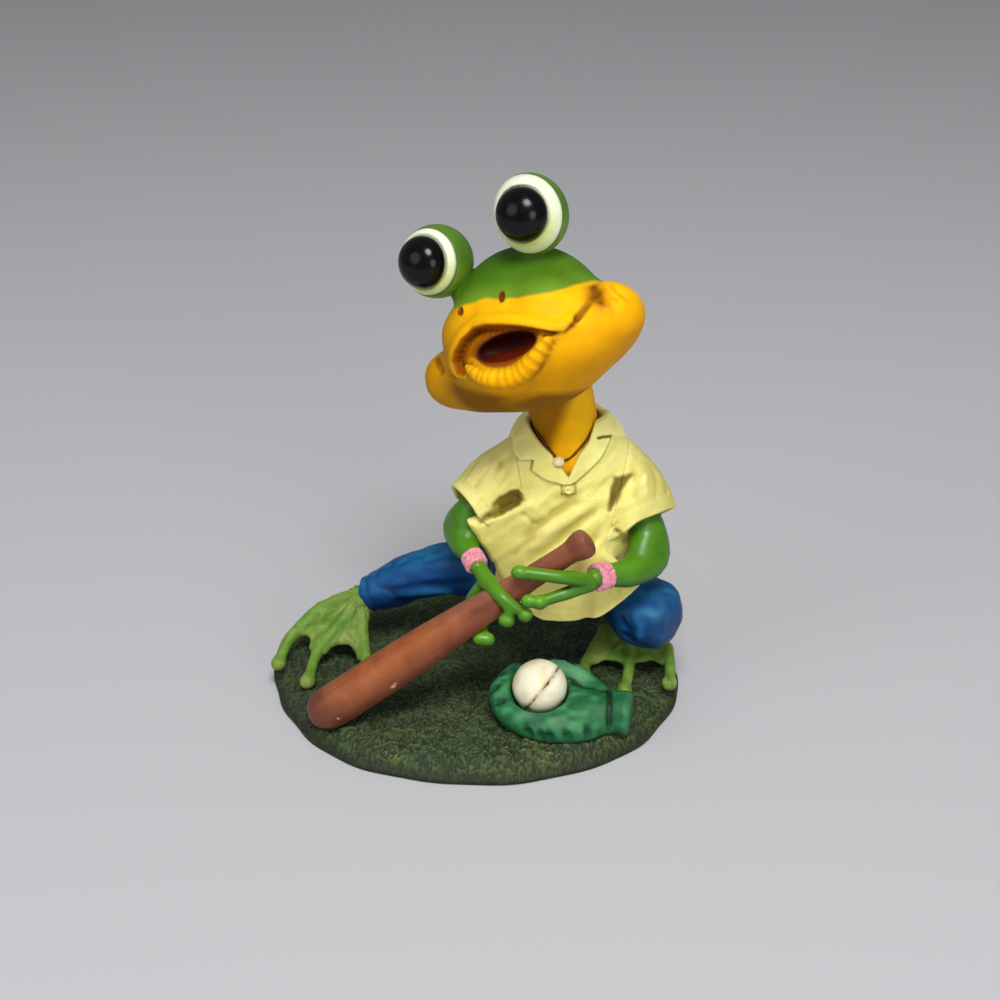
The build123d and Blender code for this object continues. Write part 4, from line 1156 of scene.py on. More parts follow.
def bowl(q):
    """How far inside the pursed lips a point lies, seen from the front of the face."""
    return np.where(q[:, 1] < -9, -outline(q[:, [0, 2]], BOWL), -9.0)


def lip_lines(q):
    """Wrinkles across the lips: how strongly they show, and their wave from -1 to 1."""
    low_near, low_place = near_line(q, LOWER_LIP[:, :3])
    top_near, top_place = near_line(q, UPPER_LIP[1:10, :3] + (0.3, -0.4, -1.9))
    lower = low_near < top_near
    wave = np.sin(2 * math.pi * np.where(lower, 14 * low_place, 20 * top_place) + 3 * speckle(q, 2.5, 61))
    show = np.where(lower, fade(low_near, 1.2, 2.6), 0.6 * fade(top_near, 0.8, 2.0))
    return show, wave


def mouth(q):
    return egg(q, (2.0, -16.2, -1.2), (6.2, 4.6, 2.35), MOUTH_TILT)


def head_field(q):
    d = head_mass(q)
    d = melt(d, limb(q, UPPER_LIP, 3), 2.0)
    d = d + 1.4 * soft(bowl(q), -0.3, 1.2)
    d = melt(d, limb(q, LOWER_LIP, 3), 1.2)
    show, wave = lip_lines(q)
    d = d + 0.08 * show * wave
    d = carve(d, mouth(q), 1.0)
    d = d + creases(q, FACE_FOLDS)
    for spot, turn in zip(NOSTRILS, NOSTRIL_TURNS):
        d = d - 0.3 * swell(length(q - spot), 1.5)
        d = carve(d, egg(q, spot, (0.5, 0.7, 1.1), turn), 0.4)
    return d


GREEN_X = [-19, -14, -8.5, -1.9, 5.6, 8.3, 11.8, 14.4, 16.3, 18.5]
GREEN_EDGE = [3.5, 6.5, 9.3, 8.8, 6.5, 5.9, 4.9, 4.5, 4.2, 3.4]
SHADE_X = [-15, -13, -7.2, -3.6, 1.6, 4, 9]
SHADE_EDGE = [-2.6, -2.6, -6.2, -8.6, -10.2, -11.6, -14]
verts, quads, normals = skin(head_field, (-28, -24, -18), (28, 17, 24), 0.31)
x, y, z = verts.T
facing_up = (normals @ HEAD_TURN.T)[:, 2]
top_line = np.interp(x, GREEN_X, GREEN_EDGE) - 3.0 * soft(y, -2, 10)
green = soft(z - top_line + 0.5 * ripple(verts, 3.0, 62), -0.35, 0.35)
in_front = soft(-y, 10, 13)
show, wave = lip_lines(verts)
shade_line = np.interp(x, SHADE_X, SHADE_EDGE)
chin = soft(shade_line - z, -0.6, 2.2) * soft(x, -16.5, -12.5)
within = soft(bowl(verts), -0.3, 0.5)
under_ridge = within * fade(off_line(verts, UPPER_LIP[:, :3]), 1.4, 3.2)
off_lip = soft(off_line(verts, LOWER_LIP[:, :3]) - 1.6, 0.1, 0.8)
corner_near, corner_place = near_line(verts, RIGHT_CORNER)
corner_near = corner_near + 1.6 * np.abs(corner_place - 0.45)
cheek_near = np.min([off_line(verts, line) for line in CHEEK_LINES], 0)
pit = mouth(verts)
# Painted light: after the base coat come a highlight on faces turned up and shade on faces turned down, then
# painted shade over the left side, under the chin, in the band under the lip ridge, near the mouth, in the lip
# wrinkles, the hollows, the mouth line, the corners and the cheek lines. The inside of the mouth is dark red,
# with painted shade at its top, and the last row is a highlight on raised edges.
paint = layers(
    coat(verts, pot(240, 170, 0)),
    ((250, 192, 6), 0.7 * soft(facing_up, 0.2, 0.9)),
    ((206, 140, 0), 0.6 * fade(facing_up, -0.5, 0.2)),
    ((184, 130, 0), 0.9 * soft(-x, 2.0, 11.0)),
    ((124, 78, 0), 0.94 * chin * soft(speckle(verts, 5.0, 63), -0.3, 0.4)),
    ((160, 92, 0), 0.9 * within * off_lip),
    ((138, 74, 0), 0.8 * under_ridge * off_lip),
    ((116, 52, 0), 0.8 * within * fade(pit, 0.4, 2.0) * off_lip),
    ((150, 88, 0), 0.5 * show * soft(-wave, -0.2, 0.9)),
    ((120, 62, 0), (0.9 - 0.5 * within) * soft(hollow(head_field, verts, normals, 0.9), 0.15, 0.75)),
    ((120, 62, 0), 0.85 * fade(off_line(verts, RIGHT_MOUTH_LINE), 0.35, 1.15)),
    ((190, 118, 0), 0.7 * fade(corner_near, 1.2, 3.6)),
    ((112, 58, 0), 0.95 * fade(corner_near, 0.7, 2.0)),
    ((124, 68, 0), 0.85 * fade(off_line(verts, LEFT_CORNER), 0.3, 1.1)),
    ((196, 128, 0), 0.5 * fade(cheek_near, 0.1, 0.8)),
    ((96, 20, 2), fade(pit, -0.1, 0.5)),
    ((40, 2, 0), fade(pit, 0.0, 0.6) * soft(z, -3.2, -1.0)),
    ((255, 206, 20), 0.35 * raised(head_field, verts, normals, 0.6) * in_front * (1 - within)),
)
# The green is darker on top and lighter near its edge, with painted shade in the hollows.
skin_green = layers(
    coat(verts, pot(80, 122, 20)),
    ((62, 104, 18), soft(z, 7, 15)),
    ((112, 150, 40), 0.75 * fade(z - top_line, 0.2, 3.4)),
    ((34, 62, 10), 1.2 * hollow(head_field, verts, normals, 1.0)),
)
paint = brush(paint, skin_green, green)
for spot, turn in zip(NOSTRILS, NOSTRIL_TURNS):
    slit = length(((verts - spot) @ turn) / (0.75, 1.2, 1.45))
    paint = brush(paint, pot(126, 54, 4), fade(slit, 0.5, 1.2))
face_finish = finish("face_paint", 3.0, 0.06, 0.3, 0.04, (0.5, 0.65), 0.03, shine=0.1)
piece("head_cast", on_neck(verts), quads, paint, face_finish, "head_green", "head")

# %% [markdown]
# ## The eyes
# Each eye is a ball on top of the head: green behind, white in front, with a big black dome for a
# pupil. The white is edged with a fine groove, and painted shade yellows it below the pupil. The
# green back has painted highlight on its top and its lower rim. The dome has a glossy varnish, so
# the studio lamps show on it as soft spots.

# %% Eyes
eye_finish = finish("eye_paint", 2.0, 0.04, 0.25, 0.03, (0.3, 0.45), 0.02)
pupil_finish = finish("pupil_varnish", 2.5, 0.2, 0.3, 0.1, (0.14, 0.24), 0.01, shine=0.22)
PUPIL_RADIUS = 4.85
PUPIL_DOME = 3.7
PUPIL_PLACE = 4.8
PUPIL_BACK = 4.45
WELL_RADIUS = 5.05
WELL_FLOOR = 4.4
EYES = {
    "right": ((-10.6, -5.0, 18.9), (-0.04, -1.0, 0.1), (6.9, 6.9, 6.9), 2.7),
    "left": ((11.3, -5.0, 19.5), (0.12, -1.0, 0.03), (6.7, 6.9, 7.4), 1.4),
}
for name, (centre, gaze, eye_half, lid) in EYES.items():
    centre, gaze, eye_half = np.array(centre), np.array(gaze), np.array(eye_half)
    gaze = gaze / length(gaze)

    def from_eye(q):
        """How far a point lies ahead of the eye's middle, and its step away from the line of gaze."""
        ahead = (q - centre) @ gaze
        return ahead, q - centre - ahead[:, None] * gaze

    def eye_field(q):
        ahead, aside = from_eye(q)
        d = egg(q, centre, eye_half) + 0.22 * swell(ahead - lid, 0.3)
        return carve(d, np.maximum(length(aside) - WELL_RADIUS, WELL_FLOOR - ahead), 0.5)

    def pupil_field(q):
        ahead, aside = from_eye(q)
        d = (np.hypot(length(aside) / PUPIL_RADIUS, (ahead - PUPIL_PLACE) / PUPIL_DOME) - 1) * PUPIL_DOME
        return keep(d, PUPIL_BACK - ahead, 0.2)

    verts, quads, normals = skin(eye_field, centre - 8.5, centre + 8.5, 0.28)
    ahead, aside = from_eye(verts)
    lower = soft(-aside[:, 2] / (length(aside) + TINY), 0.0, 0.9)
    rise = verts[:, 2] - centre[2]
    # The white is yellowed below the pupil by the dome's painted shade.
    paint = layers(
        coat(verts, pot(228, 236, 208)),
        ((212, 222, 138), 0.85 * lower * soft(ahead, 1.8, 4.2)),
        ((150, 158, 70), 0.6 * lower * soft(ahead, 3.8, 4.8)),
    )
    # Painted highlight on the top and on the lower rim of the green back.
    shell = layers(
        coat(verts, pot(74, 112, 28)),
        ((96, 140, 44), 0.5 * soft(rise, 0, 6)),
        ((130, 164, 46), 0.5 * soft(-rise, 1, 6)),
    )
    paint = brush(paint, shell, fade(ahead, lid - 0.2, lid + 0.2))
    # A painted line at the edge of the white, and painted shade in the well round the pupil.
    paint = layers(
        paint,
        ((52, 76, 16), 0.8 * swell(ahead - lid + 0.05, 0.22)),
        ((60, 60, 20), hollow(eye_field, verts, normals, 0.6) * soft(ahead, 3.5, 4.5)),
    )
    piece(name + "_eyeball_cast", on_neck(verts), quads, paint, eye_finish, "eye_white", name + "_eyeball")
    verts, quads, _ = skin(pupil_field, centre - 10, centre + 10, 0.28)
    paint = coat(verts, pot(6, 6, 7))
    piece(name + "_pupil_cast", on_neck(verts), quads, paint, pupil_finish, "pupil_black", name + "_pupil")

# %% [markdown]
# ## The neck and the necklace
# The neck rises out of the open collar and swells into the chest that shows in the V of the shirt.
# The necklace is a thin cord pressed against the neck: its line is drawn roughly, settled on to the
# neck's surface and then swept as a twisted tube, with one cream bead at the bottom.

# %% Neck
NECK = [
    (18.8, 3.5, 49, 6.2), (18.8, 3.5, 55, 6.7), (18.0, 2.5, 62, 6.4), (16.2, 0.4, 69, 6.8),
    (14.8, -1.2, 75, 5.6),
]
NECK_FOLDS = [
    ([(12.5, -5.0, 68), (16.5, -7.0, 66.5), (21.5, -4.5, 68.5)], 1.2, 0.35),
    ([(18.4, -5.2, 50.5), (18.2, -5.4, 55), (18.0, -4.6, 59)], 0.9, 0.3),
]


def neck_field(p):
    d = melt(limb(p, NECK), egg(p, (18.4, -0.6, 53.5), (6.6, 4.6, 6.5)), 2.0)
    return d + creases(p, NECK_FOLDS)


verts, quads, normals = skin(neck_field, (9, -9, 42), (27, 12, 82), 0.36)
x, _, z = verts.T
# Painted light: a highlight on the right front, the head's painted shadow over the left side, and painted shade
# in the hollows. The neck is also darker towards the bottom.
paint = layers(
    coat(verts, pot(255, 184, 2)),
    ((255, 202, 16), 0.7 * soft(x, 17, 23) * soft(-normals[:, 1], 0.2, 0.8)),
    ((138, 88, 0), 0.92 * fade(x - 0.3 * (z - 60), 14.4, 17.8)),
    ((196, 130, 6), 0.7 * fade(z + 0.4 * x, 59.5, 62)),
    ((150, 92, 6), 0.6 * hollow(neck_field, verts, normals, 1.2)),
)
piece("neck_cast", verts, quads, paint, face_finish, "throat_yellow", "neck")

# %% Necklace
CORD_ROUTE = [
    (16.8, -5.4, 55.9), (15.6, -4.8, 57.0), (14.1, -3.4, 58.4), (12.6, -0.8, 59.8), (12.0, 3.5, 60.6),
    (13.6, 7.6, 61.2),
    (17.0, 9.6, 61.4), (20.6, 9.4, 61.4), (23.8, 7.4, 61.6), (25.2, 3.5, 62.2), (24.0, -0.6, 61.6),
    (22.2, -2.9, 59.3),
    (20.4, -4.6, 57.6), (18.4, -5.6, 56.2),
]
CORD_LIFT = 0.2
CORD_RADIUS = 0.24
CORD_TWIST = 0.04
CORD_SIDES = 10
CORD_STEPS = 8
lying = settle(CORD_ROUTE, neck_field, CORD_LIFT)
closed = bend(np.vstack([lying[-2:], lying, lying[:3]]), CORD_STEPS)[2 * CORD_STEPS : -2 * CORD_STEPS - 1]
forward = np.roll(closed, -1, 0) - np.roll(closed, 1, 0)
forward = forward / length(forward)[:, None]
across = np.cross(forward, slope(neck_field, closed, SETTLE_REACH))
across = across / length(across)[:, None]
lift = np.cross(across, forward)
cord_verts = []
for i, centre in enumerate(closed):
    for k in range(CORD_SIDES):
        a = 2 * math.pi * k / CORD_SIDES
        thick = CORD_RADIUS + CORD_TWIST * math.cos(2 * a + 0.9 * i)
        cord_verts.append(centre + thick * (math.cos(a) * across[i] + math.sin(a) * lift[i]))
cord_verts = np.array(cord_verts)
ring = np.arange(len(cord_verts)).reshape(-1, CORD_SIDES)
ahead = np.roll(ring, -1, 0)
cord_quads = np.stack([ring, np.roll(ring, -1, 1), np.roll(ahead, -1, 1), ahead], -1).reshape(-1, 4)
cord_finish = finish("cord_paint", 1.0, 0.3, 0.2, 0.3, (0.5, 0.75), 0.05)
paint = coat(cord_verts, pot(96, 62, 14))
piece("necklace_cast", cord_verts, cord_quads, paint, cord_finish, "cord_brown", "necklace")

bead_spot = settle([(16.6, -6.3, 56.0)], neck_field, 0.9)[0]


def bead_field(p):
    return egg(p, bead_spot, (1.15, 1.05, 1.15)) + 0.05 * speckle(p, 0.6, 75)


verts, quads, _ = skin(bead_field, bead_spot - 1.8, bead_spot + 1.8, 0.14)
# The bead's lower half gets painted shade.
paint = brush(coat(verts, pot(240, 226, 176)), pot(150, 110, 50), fade(verts[:, 2] - bead_spot[2], -1.0, -0.2))
bead_finish = finish("bead_paint", 0.8, 0.1, 0.2, 0.08, (0.25, 0.4), 0.02)
piece("bead_cast", verts, quads, paint, bead_finish, "bead_cream", "necklace_bead")

# %% [markdown]
# ## The arms, wristbands and hands
# Smooth satin green arms come out of the sleeves and bend at the elbow. The wristbands are towelling,
# so a fine lumpy noise is pushed into their surface. The fingers are thin limbs that end in round
# pads, laid over the bat's handle.

# %% Arms
ARMS = {
    "right": [
        (4.5, 1.2, 46.8, 3.2), (-0.2, -0.5, 42.3, 3.5), (-2.6, 1.0, 38.0, 3.6), (-1.9, -3.4, 36.6, 3.0),
        (-0.9, -6.6, 36.5, 2.3), (0.1, -9.5, 36.3, 1.8), (0.9, -11.3, 35.6, 1.6),
    ],
    "left": [
        (31.2, 0.6, 45.7, 3.5), (34.6, -3.1, 39.9, 3.7), (35.4, -5.7, 34.6, 3.7), (31.2, -11.0, 34.4, 3.0),
        (28.4, -12.9, 34.8, 2.5), (25.4, -14.4, 35.3, 2.1), (23.8, -15.7, 35.6, 1.9),
    ],
}
BAND_RADII = {"right": 2.3, "left": 2.8}
BAND_HALF = 1.2
BAND_SHIFT = 0.4
BAND_ROUND = 0.45
BAND_LOOP = 0.34
ELBOW_FILL = {"right": (-0.9, -2.4, 39.2), "left": (33.6, -6.8, 37.2)}
arm_finish = finish("arm_paint", 3.0, 0.07, 0.35, 0.05, (0.3, 0.45), 0.02, shine=0.4)
band_finish = finish("towelling_paint", 1.0, 0.12, 0.3, 0.22, (0.75, 0.9), 0.12, sheen=0.2)


def paint_arm(field, verts, normals):
    up = normals[:, 2]
    # Painted highlight on faces turned up, and painted shade on faces turned down and in the hollows.
    return layers(
        coat(verts, pot(66, 120, 10)),
        ((94, 152, 26), 0.5 * soft(up, 0.3, 0.95)),
        ((40, 88, 4), 0.7 * fade(up, -0.6, 0.1)),
        ((26, 66, 8), 1.2 * hollow(field, verts, normals, 1.0)),
    )


WRISTS = {}
for name, stations in ARMS.items():

    def arm_field(p):
        return melt(limb(p, stations), egg(p, ELBOW_FILL[name], (2.7, 2.7, 2.7)), 2.2)

    spots = np.array(stations)[:, :3]
    verts, quads, normals = skin(arm_field, spots.min(0) - 5, spots.max(0) + 5, 0.36)
    paint = paint_arm(arm_field, verts, normals)
    piece(name + "_arm_cast", verts, quads, paint, arm_finish, "arm_green", name + "_arm")
    wrist, tip = spots[-2], spots[-1]
    way = (tip - wrist) / length(tip - wrist)
    WRISTS[name] = (wrist, way)

    def band_field(p):
        past = (p - wrist) @ way
        away = length(p - wrist - past[:, None] * way)
        inner = BAND_RADII[name] - BAND_ROUND
        beyond = np.clip(np.abs(past - BAND_SHIFT) - BAND_HALF, 0, None)
        ring = np.hypot(beyond, np.clip(away - inner, 0, None)) - BAND_ROUND
        return carve(ring - 0.14 * ripple(p, BAND_LOOP, 81), away - inner + 0.4, 0.1)

    verts, quads, _ = skin(band_field, wrist - 4, wrist + 4, 0.14)
    loops = speckle(verts, BAND_LOOP, 81)
    paint = layers(
        coat(verts, pot(220, 136, 152)),
        ((236, 164, 176), soft(loops, 0.45, 0.9)),
        ((190, 104, 122), 0.6 * fade(loops, 0.15, 0.42)),
    )
    piece(name + "_wristband_cast", verts, quads, paint, band_finish, "wristband_pink", name + "_wristband")

# %% Hands
HANDS = {
    "right": (
        (3.0, -14.5, 33.9, 1.65),
        [
            [
                (3.0, -14.5, 33.9, 1.5), (5.2, -18.6, 33.4, 1.25), (7.0, -20.2, 31.4, 1.05),
                (6.7, -20.4, 29.2, 1.0),
            ],
            [
                (3.0, -14.5, 33.9, 1.5), (5.8, -18.9, 33.2, 1.25), (8.4, -20.2, 31.6, 1.05),
                (10.0, -20.0, 30.1, 1.0),
            ],
            [
                (2.4, -13.6, 33.4, 1.5), (-0.3, -12.8, 28.6, 1.25), (1.2, -14.2, 26.0, 1.1),
                (2.0, -17.8, 24.0, 1.0),
            ],
        ],
        [(6.6, -20.6, 29.0), (10.1, -20.2, 30.0), (1.5, -18.5, 23.5), (2.7, -18.6, 23.4)],
    ),
    "left": (
        (22.7, -16.6, 35.2, 1.45),
        [
            [
                (22.5, -16.9, 35.6, 1.5), (19.7, -18.8, 37.3, 1.45), (16.3, -20.0, 38.4, 1.3),
                (9.2, -19.5, 39.1, 1.25),
            ],
            [(22.5, -17.0, 34.8, 1.4), (18.0, -19.5, 34.4, 1.25), (13.0, -20.6, 33.2, 1.1)],
        ],
        [(9.0, -19.6, 39.1), (12.9, -20.9, 33.2), (10.9, -20.6, 33.3)],
    ),
}
PAD_HALF = (1.6, 1.4, 1.4)
for name, (palm, fingers, pads) in HANDS.items():
    wrist, way = WRISTS[name]

    def hand_field(p):
        d = limb(p, [(*(wrist + way * 0.8), 1.5), palm], 0)
        for finger in fingers:
            d = melt(d, limb(p, finger), 0.7)
            knuckle = np.array(finger[1][:3])
            d = d - 0.12 * swell(length(p - knuckle), 1.3)
        for pad in pads:
            d = melt(d, egg(p, pad, PAD_HALF), 0.45)
        return d

    spots = np.array([f[:3] for finger in fingers for f in finger] + [tuple(wrist)])
    verts, quads, normals = skin(hand_field, spots.min(0) - 4, spots.max(0) + 4, 0.27)
    paint = paint_arm(hand_field, verts, normals)
    near_pad = np.min([length(verts - pad) for pad in pads], 0)
    # Painted highlight on the tops of the finger pads.
    paint = brush(paint, pot(116, 180, 36), 0.6 * fade(near_pad, 1.0, 2.0) * soft(normals[:, 2], 0, 0.8))
    piece(name + "_hand_cast", verts, quads, paint, arm_finish, "arm_green", name + "_hand")

# %% [markdown]
# ## The bat
# A bat is turned on a lathe, so its field is a radius that changes along the axis, from the knob to
# the round barrel end. Painted reddish brown with faint long streaks and a few chips where the pale
# resin shows, it has painted highlight along the top and painted shade where it lies on the grass.

# %% Bat
KNOB_END = np.array([22.6, -14.8, 43.6])
BARREL_END = np.array([-31.5, -19.6, 5.8])
BAT_LENGTH = float(length(BARREL_END - KNOB_END))
BAT_WAY = (BARREL_END - KNOB_END) / BAT_LENGTH
BAT_REACH = BAT_LENGTH + 1.1
KNOB_ROUND = 0.9
BARREL_ROUND = BAT_REACH - 4.2
BAT_PLACES = np.array([0, 0.8, 1.8, 3.0, 4.4, 6.0, 14, 22, 30, 40, 50, 60, BAT_LENGTH])
BAT_RADII = np.array([2.3, 2.85, 2.95, 2.7, 2.25, 2.15, 2.4, 3.0, 3.6, 4.1, 4.35, 4.4, 4.25])
CHIPS = [((-15.7, -22.1, 14.8), 0.5), ((-15.2, -22.2, 15.4), 0.25), ((-26.7, -23.4, 7.9), 0.25)]


def bat_place(p):
    past = (p - KNOB_END) @ BAT_WAY
    off = p - KNOB_END - past[:, None] * BAT_WAY
    return past, length(off), np.arctan2(off[:, 2], off @ np.cross(BAT_WAY, (0, 0, 1)))


def bat_field(p):
    past, away, angle = bat_place(p)
    near = np.clip(past, KNOB_ROUND, BARREL_ROUND)
    radius = np.interp(near, BAT_PLACES, BAT_RADII)
    end = np.where(past < KNOB_ROUND, (KNOB_ROUND - past) * 2.2, np.clip(past - BARREL_ROUND, 0, None))
    d = np.hypot(away, end) - radius
    d = d + 0.12 * ripple(np.column_stack([past, angle * 3, 0 * past]), (9.0, 2.0, 1.0), 91)
    return np.maximum(d, BASE_TOP - 0.5 - p[:, 2])


verts, quads, normals = skin(bat_field, (-37, -25, 2), (28, -10, 48), 0.36)
past, _, angle = bat_place(verts)
up = normals[:, 2]
grain = speckle(np.column_stack([past, angle * 4, 0 * past]), (12.0, 0.5, 1.0), 92)
mottle = speckle(verts, 4.0, 94) + 0.5 * speckle(verts, 1.6, 95)
# The orange middle and the pale mottle are the bat's own tones laid mostly on faces turned up, so they are
# partly painted highlight. The last row is painted highlight along the top near the hands.
paint = layers(
    coat(verts, pot(128, 70, 48)),
    ((156, 86, 42), 0.85 * soft(past, 22, 40) * fade(past, 56, 68) * soft(up, -0.4, 0.8)),
    ((98, 54, 38), 0.8 * soft(past, 52, 66)),
    ((92, 46, 30), 0.45 * soft(mottle, 0.75, 1.15)),
    ((168, 106, 66), 0.35 * soft(1.5 - mottle, 0.75, 1.15) * soft(up, 0.0, 0.8)),
    ((92, 46, 30), 0.2 * soft(grain, 0.5, 0.8)),
    ((164, 112, 92), 0.4 * soft(up, 0.5, 1.0) * fade(past, 24, 36)),
)
for spot, size in CHIPS:
    near = length(verts - settle([spot], bat_field)[0]) / size
    # Pale resin at each chip, and each time again the painted shadow where the bat lies on the grass.
    paint = layers(
        paint,
        ((232, 180, 150), fade(near + 0.8 * ripple(verts, 0.4, 93), 0.6, 1.2)),
        ((54, 24, 14), 0.8 * fade(verts[:, 2], BASE_TOP, BASE_TOP + 1.2)),
    )
bat_finish = finish("bat_paint", 3.0, 0.1, 0.35, 0.06, (0.32, 0.5), 0.03)
piece("bat_cast", verts, quads, paint, bat_finish, "bat_brown", "bat")

# %% [markdown]
# ## The glove and the ball
# The glove lies open on the grass with its fingers curled round the ball. Its palm, finger roll,
# thumb and cuff are melted forms, with a sewn seam from the ball to the cuff and a groove round the
# cuff. The ball has one seam round it, a shallow groove with a worn dark line painted in.

# %% Glove
BALL = np.array([13.3, -16.4, 10.9])
BALL_RADIUS = 5.5
GLOVE_SEAM = [
    (19.2, -13.5, 10.6), (20.6, -14.7, 10.5), (22.4, -16.0, 10.4), (24.2, -16.3, 10.2), (26.0, -17.1, 10.4),
    (27.0, -18.2, 10.8),
]
CUFF_GROOVE = [
    (27.0, -16.6, 9.8), (27.1, -18.7, 10.9), (27.1, -21.8, 10.3), (26.9, -23.5, 8.6), (26.8, -24.3, 6.2),
]
CUFF_END = np.array([31.6, -20.2, 6.4])
CUFF_WAY = np.array([0.97, -0.2, 0.0])
FINGER_ROLL = [(14.5, -24, 6.3, 2.5), (7.5, -21.5, 7.6, 2.6), (5.6, -15.5, 9.1, 2.5), (8.6, -10.2, 10.0, 2.2)]
CUFF = [(22, -19.2, 6.3, 4.6), (27.4, -19.4, 6.3, 4.7), (30.2, -19.8, 6.4, 4.8)]
THUMB = [(24.5, -14.2, 6.9, 3.4), (19.8, -10.6, 8.9, 3.3), (16.4, -8.9, 9.7, 2.4)]
GLOVE_FOLDS = [
    [(11.4, -26.4, 5.0), (10.6, -25.4, 7.4)],
    [(14.0, -27.2, 4.8), (13.2, -26.4, 7.2)],
    [(15.6, -27.5, 4.8), (14.9, -26.6, 7.2)],
    [(19.2, -27.6, 4.8), (18.0, -26.6, 7.4)],
    [(23.0, -26.6, 5.0), (22.2, -25.8, 7.6)],
    [(4.0, -20.5, 9.4), (6.8, -20.6, 10.6)],
    [(2.8, -17.0, 9.2), (5.4, -16.8, 11.6)],
    [(3.6, -13.2, 10.2), (6.4, -13.0, 12.2)],
    [(19.0, -7.0, 10.6), (20.5, -10.0, 12.2)],
]
THUMB_TOP = [(16.4, -9.2, 12.0), (19.4, -10.6, 12.0), (22.0, -12.4, 11.2)]


def glove_field(p):
    d = egg(p, (17.5, -18, 5.7), (12, 9.4, 5.2))
    d = melt(d, limb(p, FINGER_ROLL), 1.2)
    d = melt(d, limb(p, CUFF), 1.2)
    d = carve(d, egg(p, BALL + (0.0, -0.8, 0.3), (5.8, 6.3, 5.7)), 1.4)
    d = melt(d, limb(p, THUMB), 0.7)
    d = d + crease(p, GLOVE_SEAM, 0.45, 0.4, 0.06) + crease(p, CUFF_GROOVE, 0.45, 0.5, 0.1)
    d = d + creases(p, [(line, 0.7, 0.9, 0.4) for line in GLOVE_FOLDS])
    d = d + 0.2 * ripple(p, 2.6, 101)
    d = keep(d, (p - CUFF_END) @ CUFF_WAY, 1.2)
    d = carve(d, length(p - BALL) - BALL_RADIUS - 0.25, 0.4)
    return np.maximum(d, BASE_TOP - 0.6 - p[:, 2])


verts, quads, normals = skin(glove_field, (-1, -31, 3), (36, -2, 17), 0.34)
streak = speckle(verts, (2.2, 1.2, 1.2), 102)
fold_near = np.min([off_line(verts, line) for line in GLOVE_FOLDS], 0)
seam_near, seam_place = near_line(verts, GLOVE_SEAM)
sewing = fade(seam_near, 0.35, 0.75) * (0.7 + 0.3 * np.sin(seam_place * 70))
# Painted light: highlight on faces turned up, on the thumb's top, beside the folds and on raised edges, and
# painted shade in the hollows and the folds, with a painted shadow where the glove meets the grass.
paint = layers(
    coat(verts, pot(30, 102, 58)),
    ((80, 152, 98), 0.6 * soft(streak, 0.45, 0.85) * soft(normals[:, 2], -0.1, 0.8)),
    ((10, 74, 46), 0.7 * soft(1 - streak, 0.5, 0.85)),
    ((100, 168, 118), 0.75 * fade(off_line(verts, THUMB_TOP), 0.8, 3.0)),
    ((8, 48, 28), 1.1 * hollow(glove_field, verts, normals, 1.0)),
    ((8, 58, 34), 0.8 * fade(fold_near, 0.3, 1.0)),
    ((70, 140, 92), 0.12 * soft(fold_near, 0.9, 1.3) * fade(fold_near, 1.4, 2.0)),
    ((12, 30, 16), 0.9 * fade(verts[:, 2], BASE_TOP, BASE_TOP + 1.2)),
    ((6, 24, 14), 0.95 * sewing),
    ((10, 44, 26), 0.9 * fade(off_line(verts, CUFF_GROOVE), 0.4, 0.75)),
    ((112, 182, 128), 0.5 * raised(glove_field, verts, normals, 0.6)),
)
glove_finish = finish("glove_paint", 2.0, 0.16, 0.35, 0.1, (0.4, 0.58), 0.06)
piece("glove_cast", verts, quads, paint, glove_finish, "glove_green", "glove")

# %% Ball
SEAM_AXIS = np.array([0.779, -0.306, -0.548])
SEAM_REACH = 0.097
SCUFF = BALL + BALL_RADIUS * np.array([-0.46, -0.74, -0.48])


def off_seam(p):
    """Distance to the seam round the ball."""
    way = (p - BALL) / (length(p - BALL)[:, None] + 1e-9)
    return BALL_RADIUS * np.abs(way @ SEAM_AXIS - SEAM_REACH)


def ball_field(p):
    d = length(p - BALL) - BALL_RADIUS + 0.12 * ripple(p, 2.2, 111)
    return d + 0.35 * swell(length(p - SCUFF), 0.9) + 0.2 * swell(off_seam(p), 0.25)


verts, quads, _ = skin(ball_field, BALL - 6.6, BALL + 6.6, 0.22)
away = off_seam(verts)
ragged = 0.3 * speckle(verts, 0.5, 113)
worn = soft(speckle(verts, 1.3, 114), 0.15, 0.6)
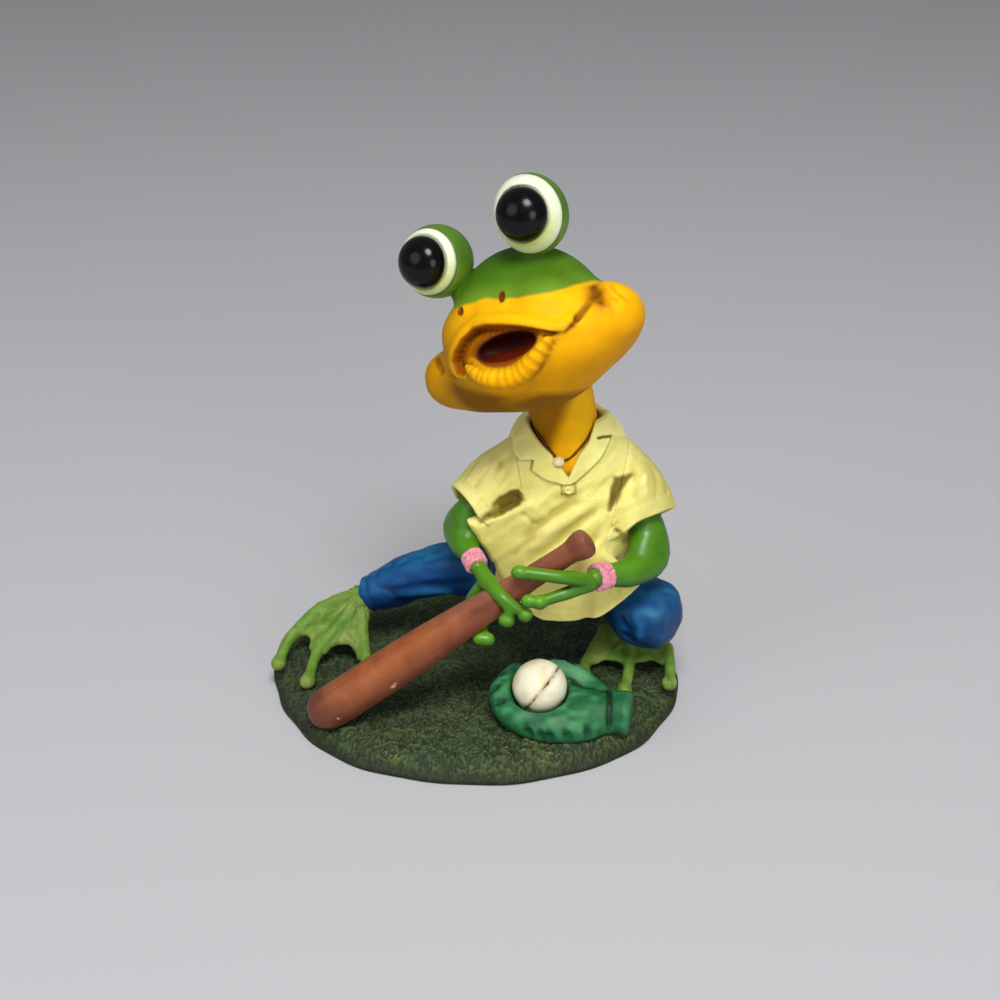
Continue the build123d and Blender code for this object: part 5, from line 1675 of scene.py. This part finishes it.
# The bottom of the ball gets painted shade. The band along the seam groove is darker.
paint = layers(
    coat(verts, pot(238, 232, 204)),
    ((222, 208, 162), 0.7 * soft(speckle(verts, 2.0, 112), 0.4, 0.8)),
    ((170, 138, 92), 0.4 * fade(away, 0.2, 1.0)),
    ((74, 44, 16), fade(away + 1.2 * ragged, 0.25, 0.5) * worn),
    ((120, 92, 60), 0.8 * fade(length(verts - SCUFF) + 2 * ragged, 0.6, 1.3)),
    ((120, 110, 90), 0.5 * fade(verts[:, 2] - BALL[2], -4.5, -2.5)),
)
ball_finish = finish("ball_paint", 1.4, 0.06, 0.25, 0.06, (0.5, 0.7), 0.04)
piece("ball_cast", verts, quads, paint, ball_finish, "ball_cream", "ball")

# %% [markdown]
# ## The studio
# A pale floor, one large soft light overhead and a little in front, a weaker one from the front right
# and one from the left, and an even sky. The colours then render about as they are mixed.

# %% Studio
FLOOR_HALF = 3.0
FLOOR_GREY = (0.52, 0.52, 0.54, 1)
FLOOR_ROUGH = 0.9
SKY = (0.97, 0.98, 1.0, 1)
SKY_STRENGTH = 0.24
LAMPS = (
    ("overhead", (0.05, -0.46, 0.82), (0.0, 0.0, 0.04), 0.36, 7.0),
    ("front_fill", (0.35, -0.75, 0.28), (0.0, 0.0, 0.05), 0.4, 1.5),
    ("left_fill", (-0.6, -0.4, 0.4), (0.0, 0.0, 0.04), 0.5, 1.0),
)
floor_mesh = bpy.data.meshes.new("floor")
corners = [(x * FLOOR_HALF, y * FLOOR_HALF, 0) for x, y in ((-1, -1), (1, -1), (1, 1), (-1, 1))]
floor_mesh.from_pydata(corners, [], [(0, 1, 2, 3)])
floor = bpy.data.objects.new("floor", floor_mesh)
bpy.context.scene.collection.objects.link(floor)
floor_paint = bpy.data.materials.new("floor_paper")
floor_paint.use_nodes = True
floor_sockets = floor_paint.node_tree.nodes["Principled BSDF"].inputs
floor_sockets["Base Color"].default_value = FLOOR_GREY
floor_sockets["Roughness"].default_value = FLOOR_ROUGH
floor_mesh.materials.append(floor_paint)
for name, place, aim, size, power in LAMPS:
    data = bpy.data.lights.new(name, "AREA")
    data.shape = "DISK"
    data.size = size
    data.energy = power
    obj = bpy.data.objects.new(name, data)
    obj.location = place
    way = np.array(aim) - np.array(place)
    obj.rotation_euler = (math.acos(-way[2] / length(way)), 0, math.atan2(way[1], way[0]) - math.pi / 2)
    bpy.context.scene.collection.objects.link(obj)
world = bpy.data.worlds.new("studio_sky")
world.use_nodes = True
sky_sockets = world.node_tree.nodes["Background"].inputs
sky_sockets["Color"].default_value = SKY
sky_sockets["Strength"].default_value = SKY_STRENGTH
bpy.context.scene.world = world
bpy.context.scene.view_settings.view_transform = "Standard"
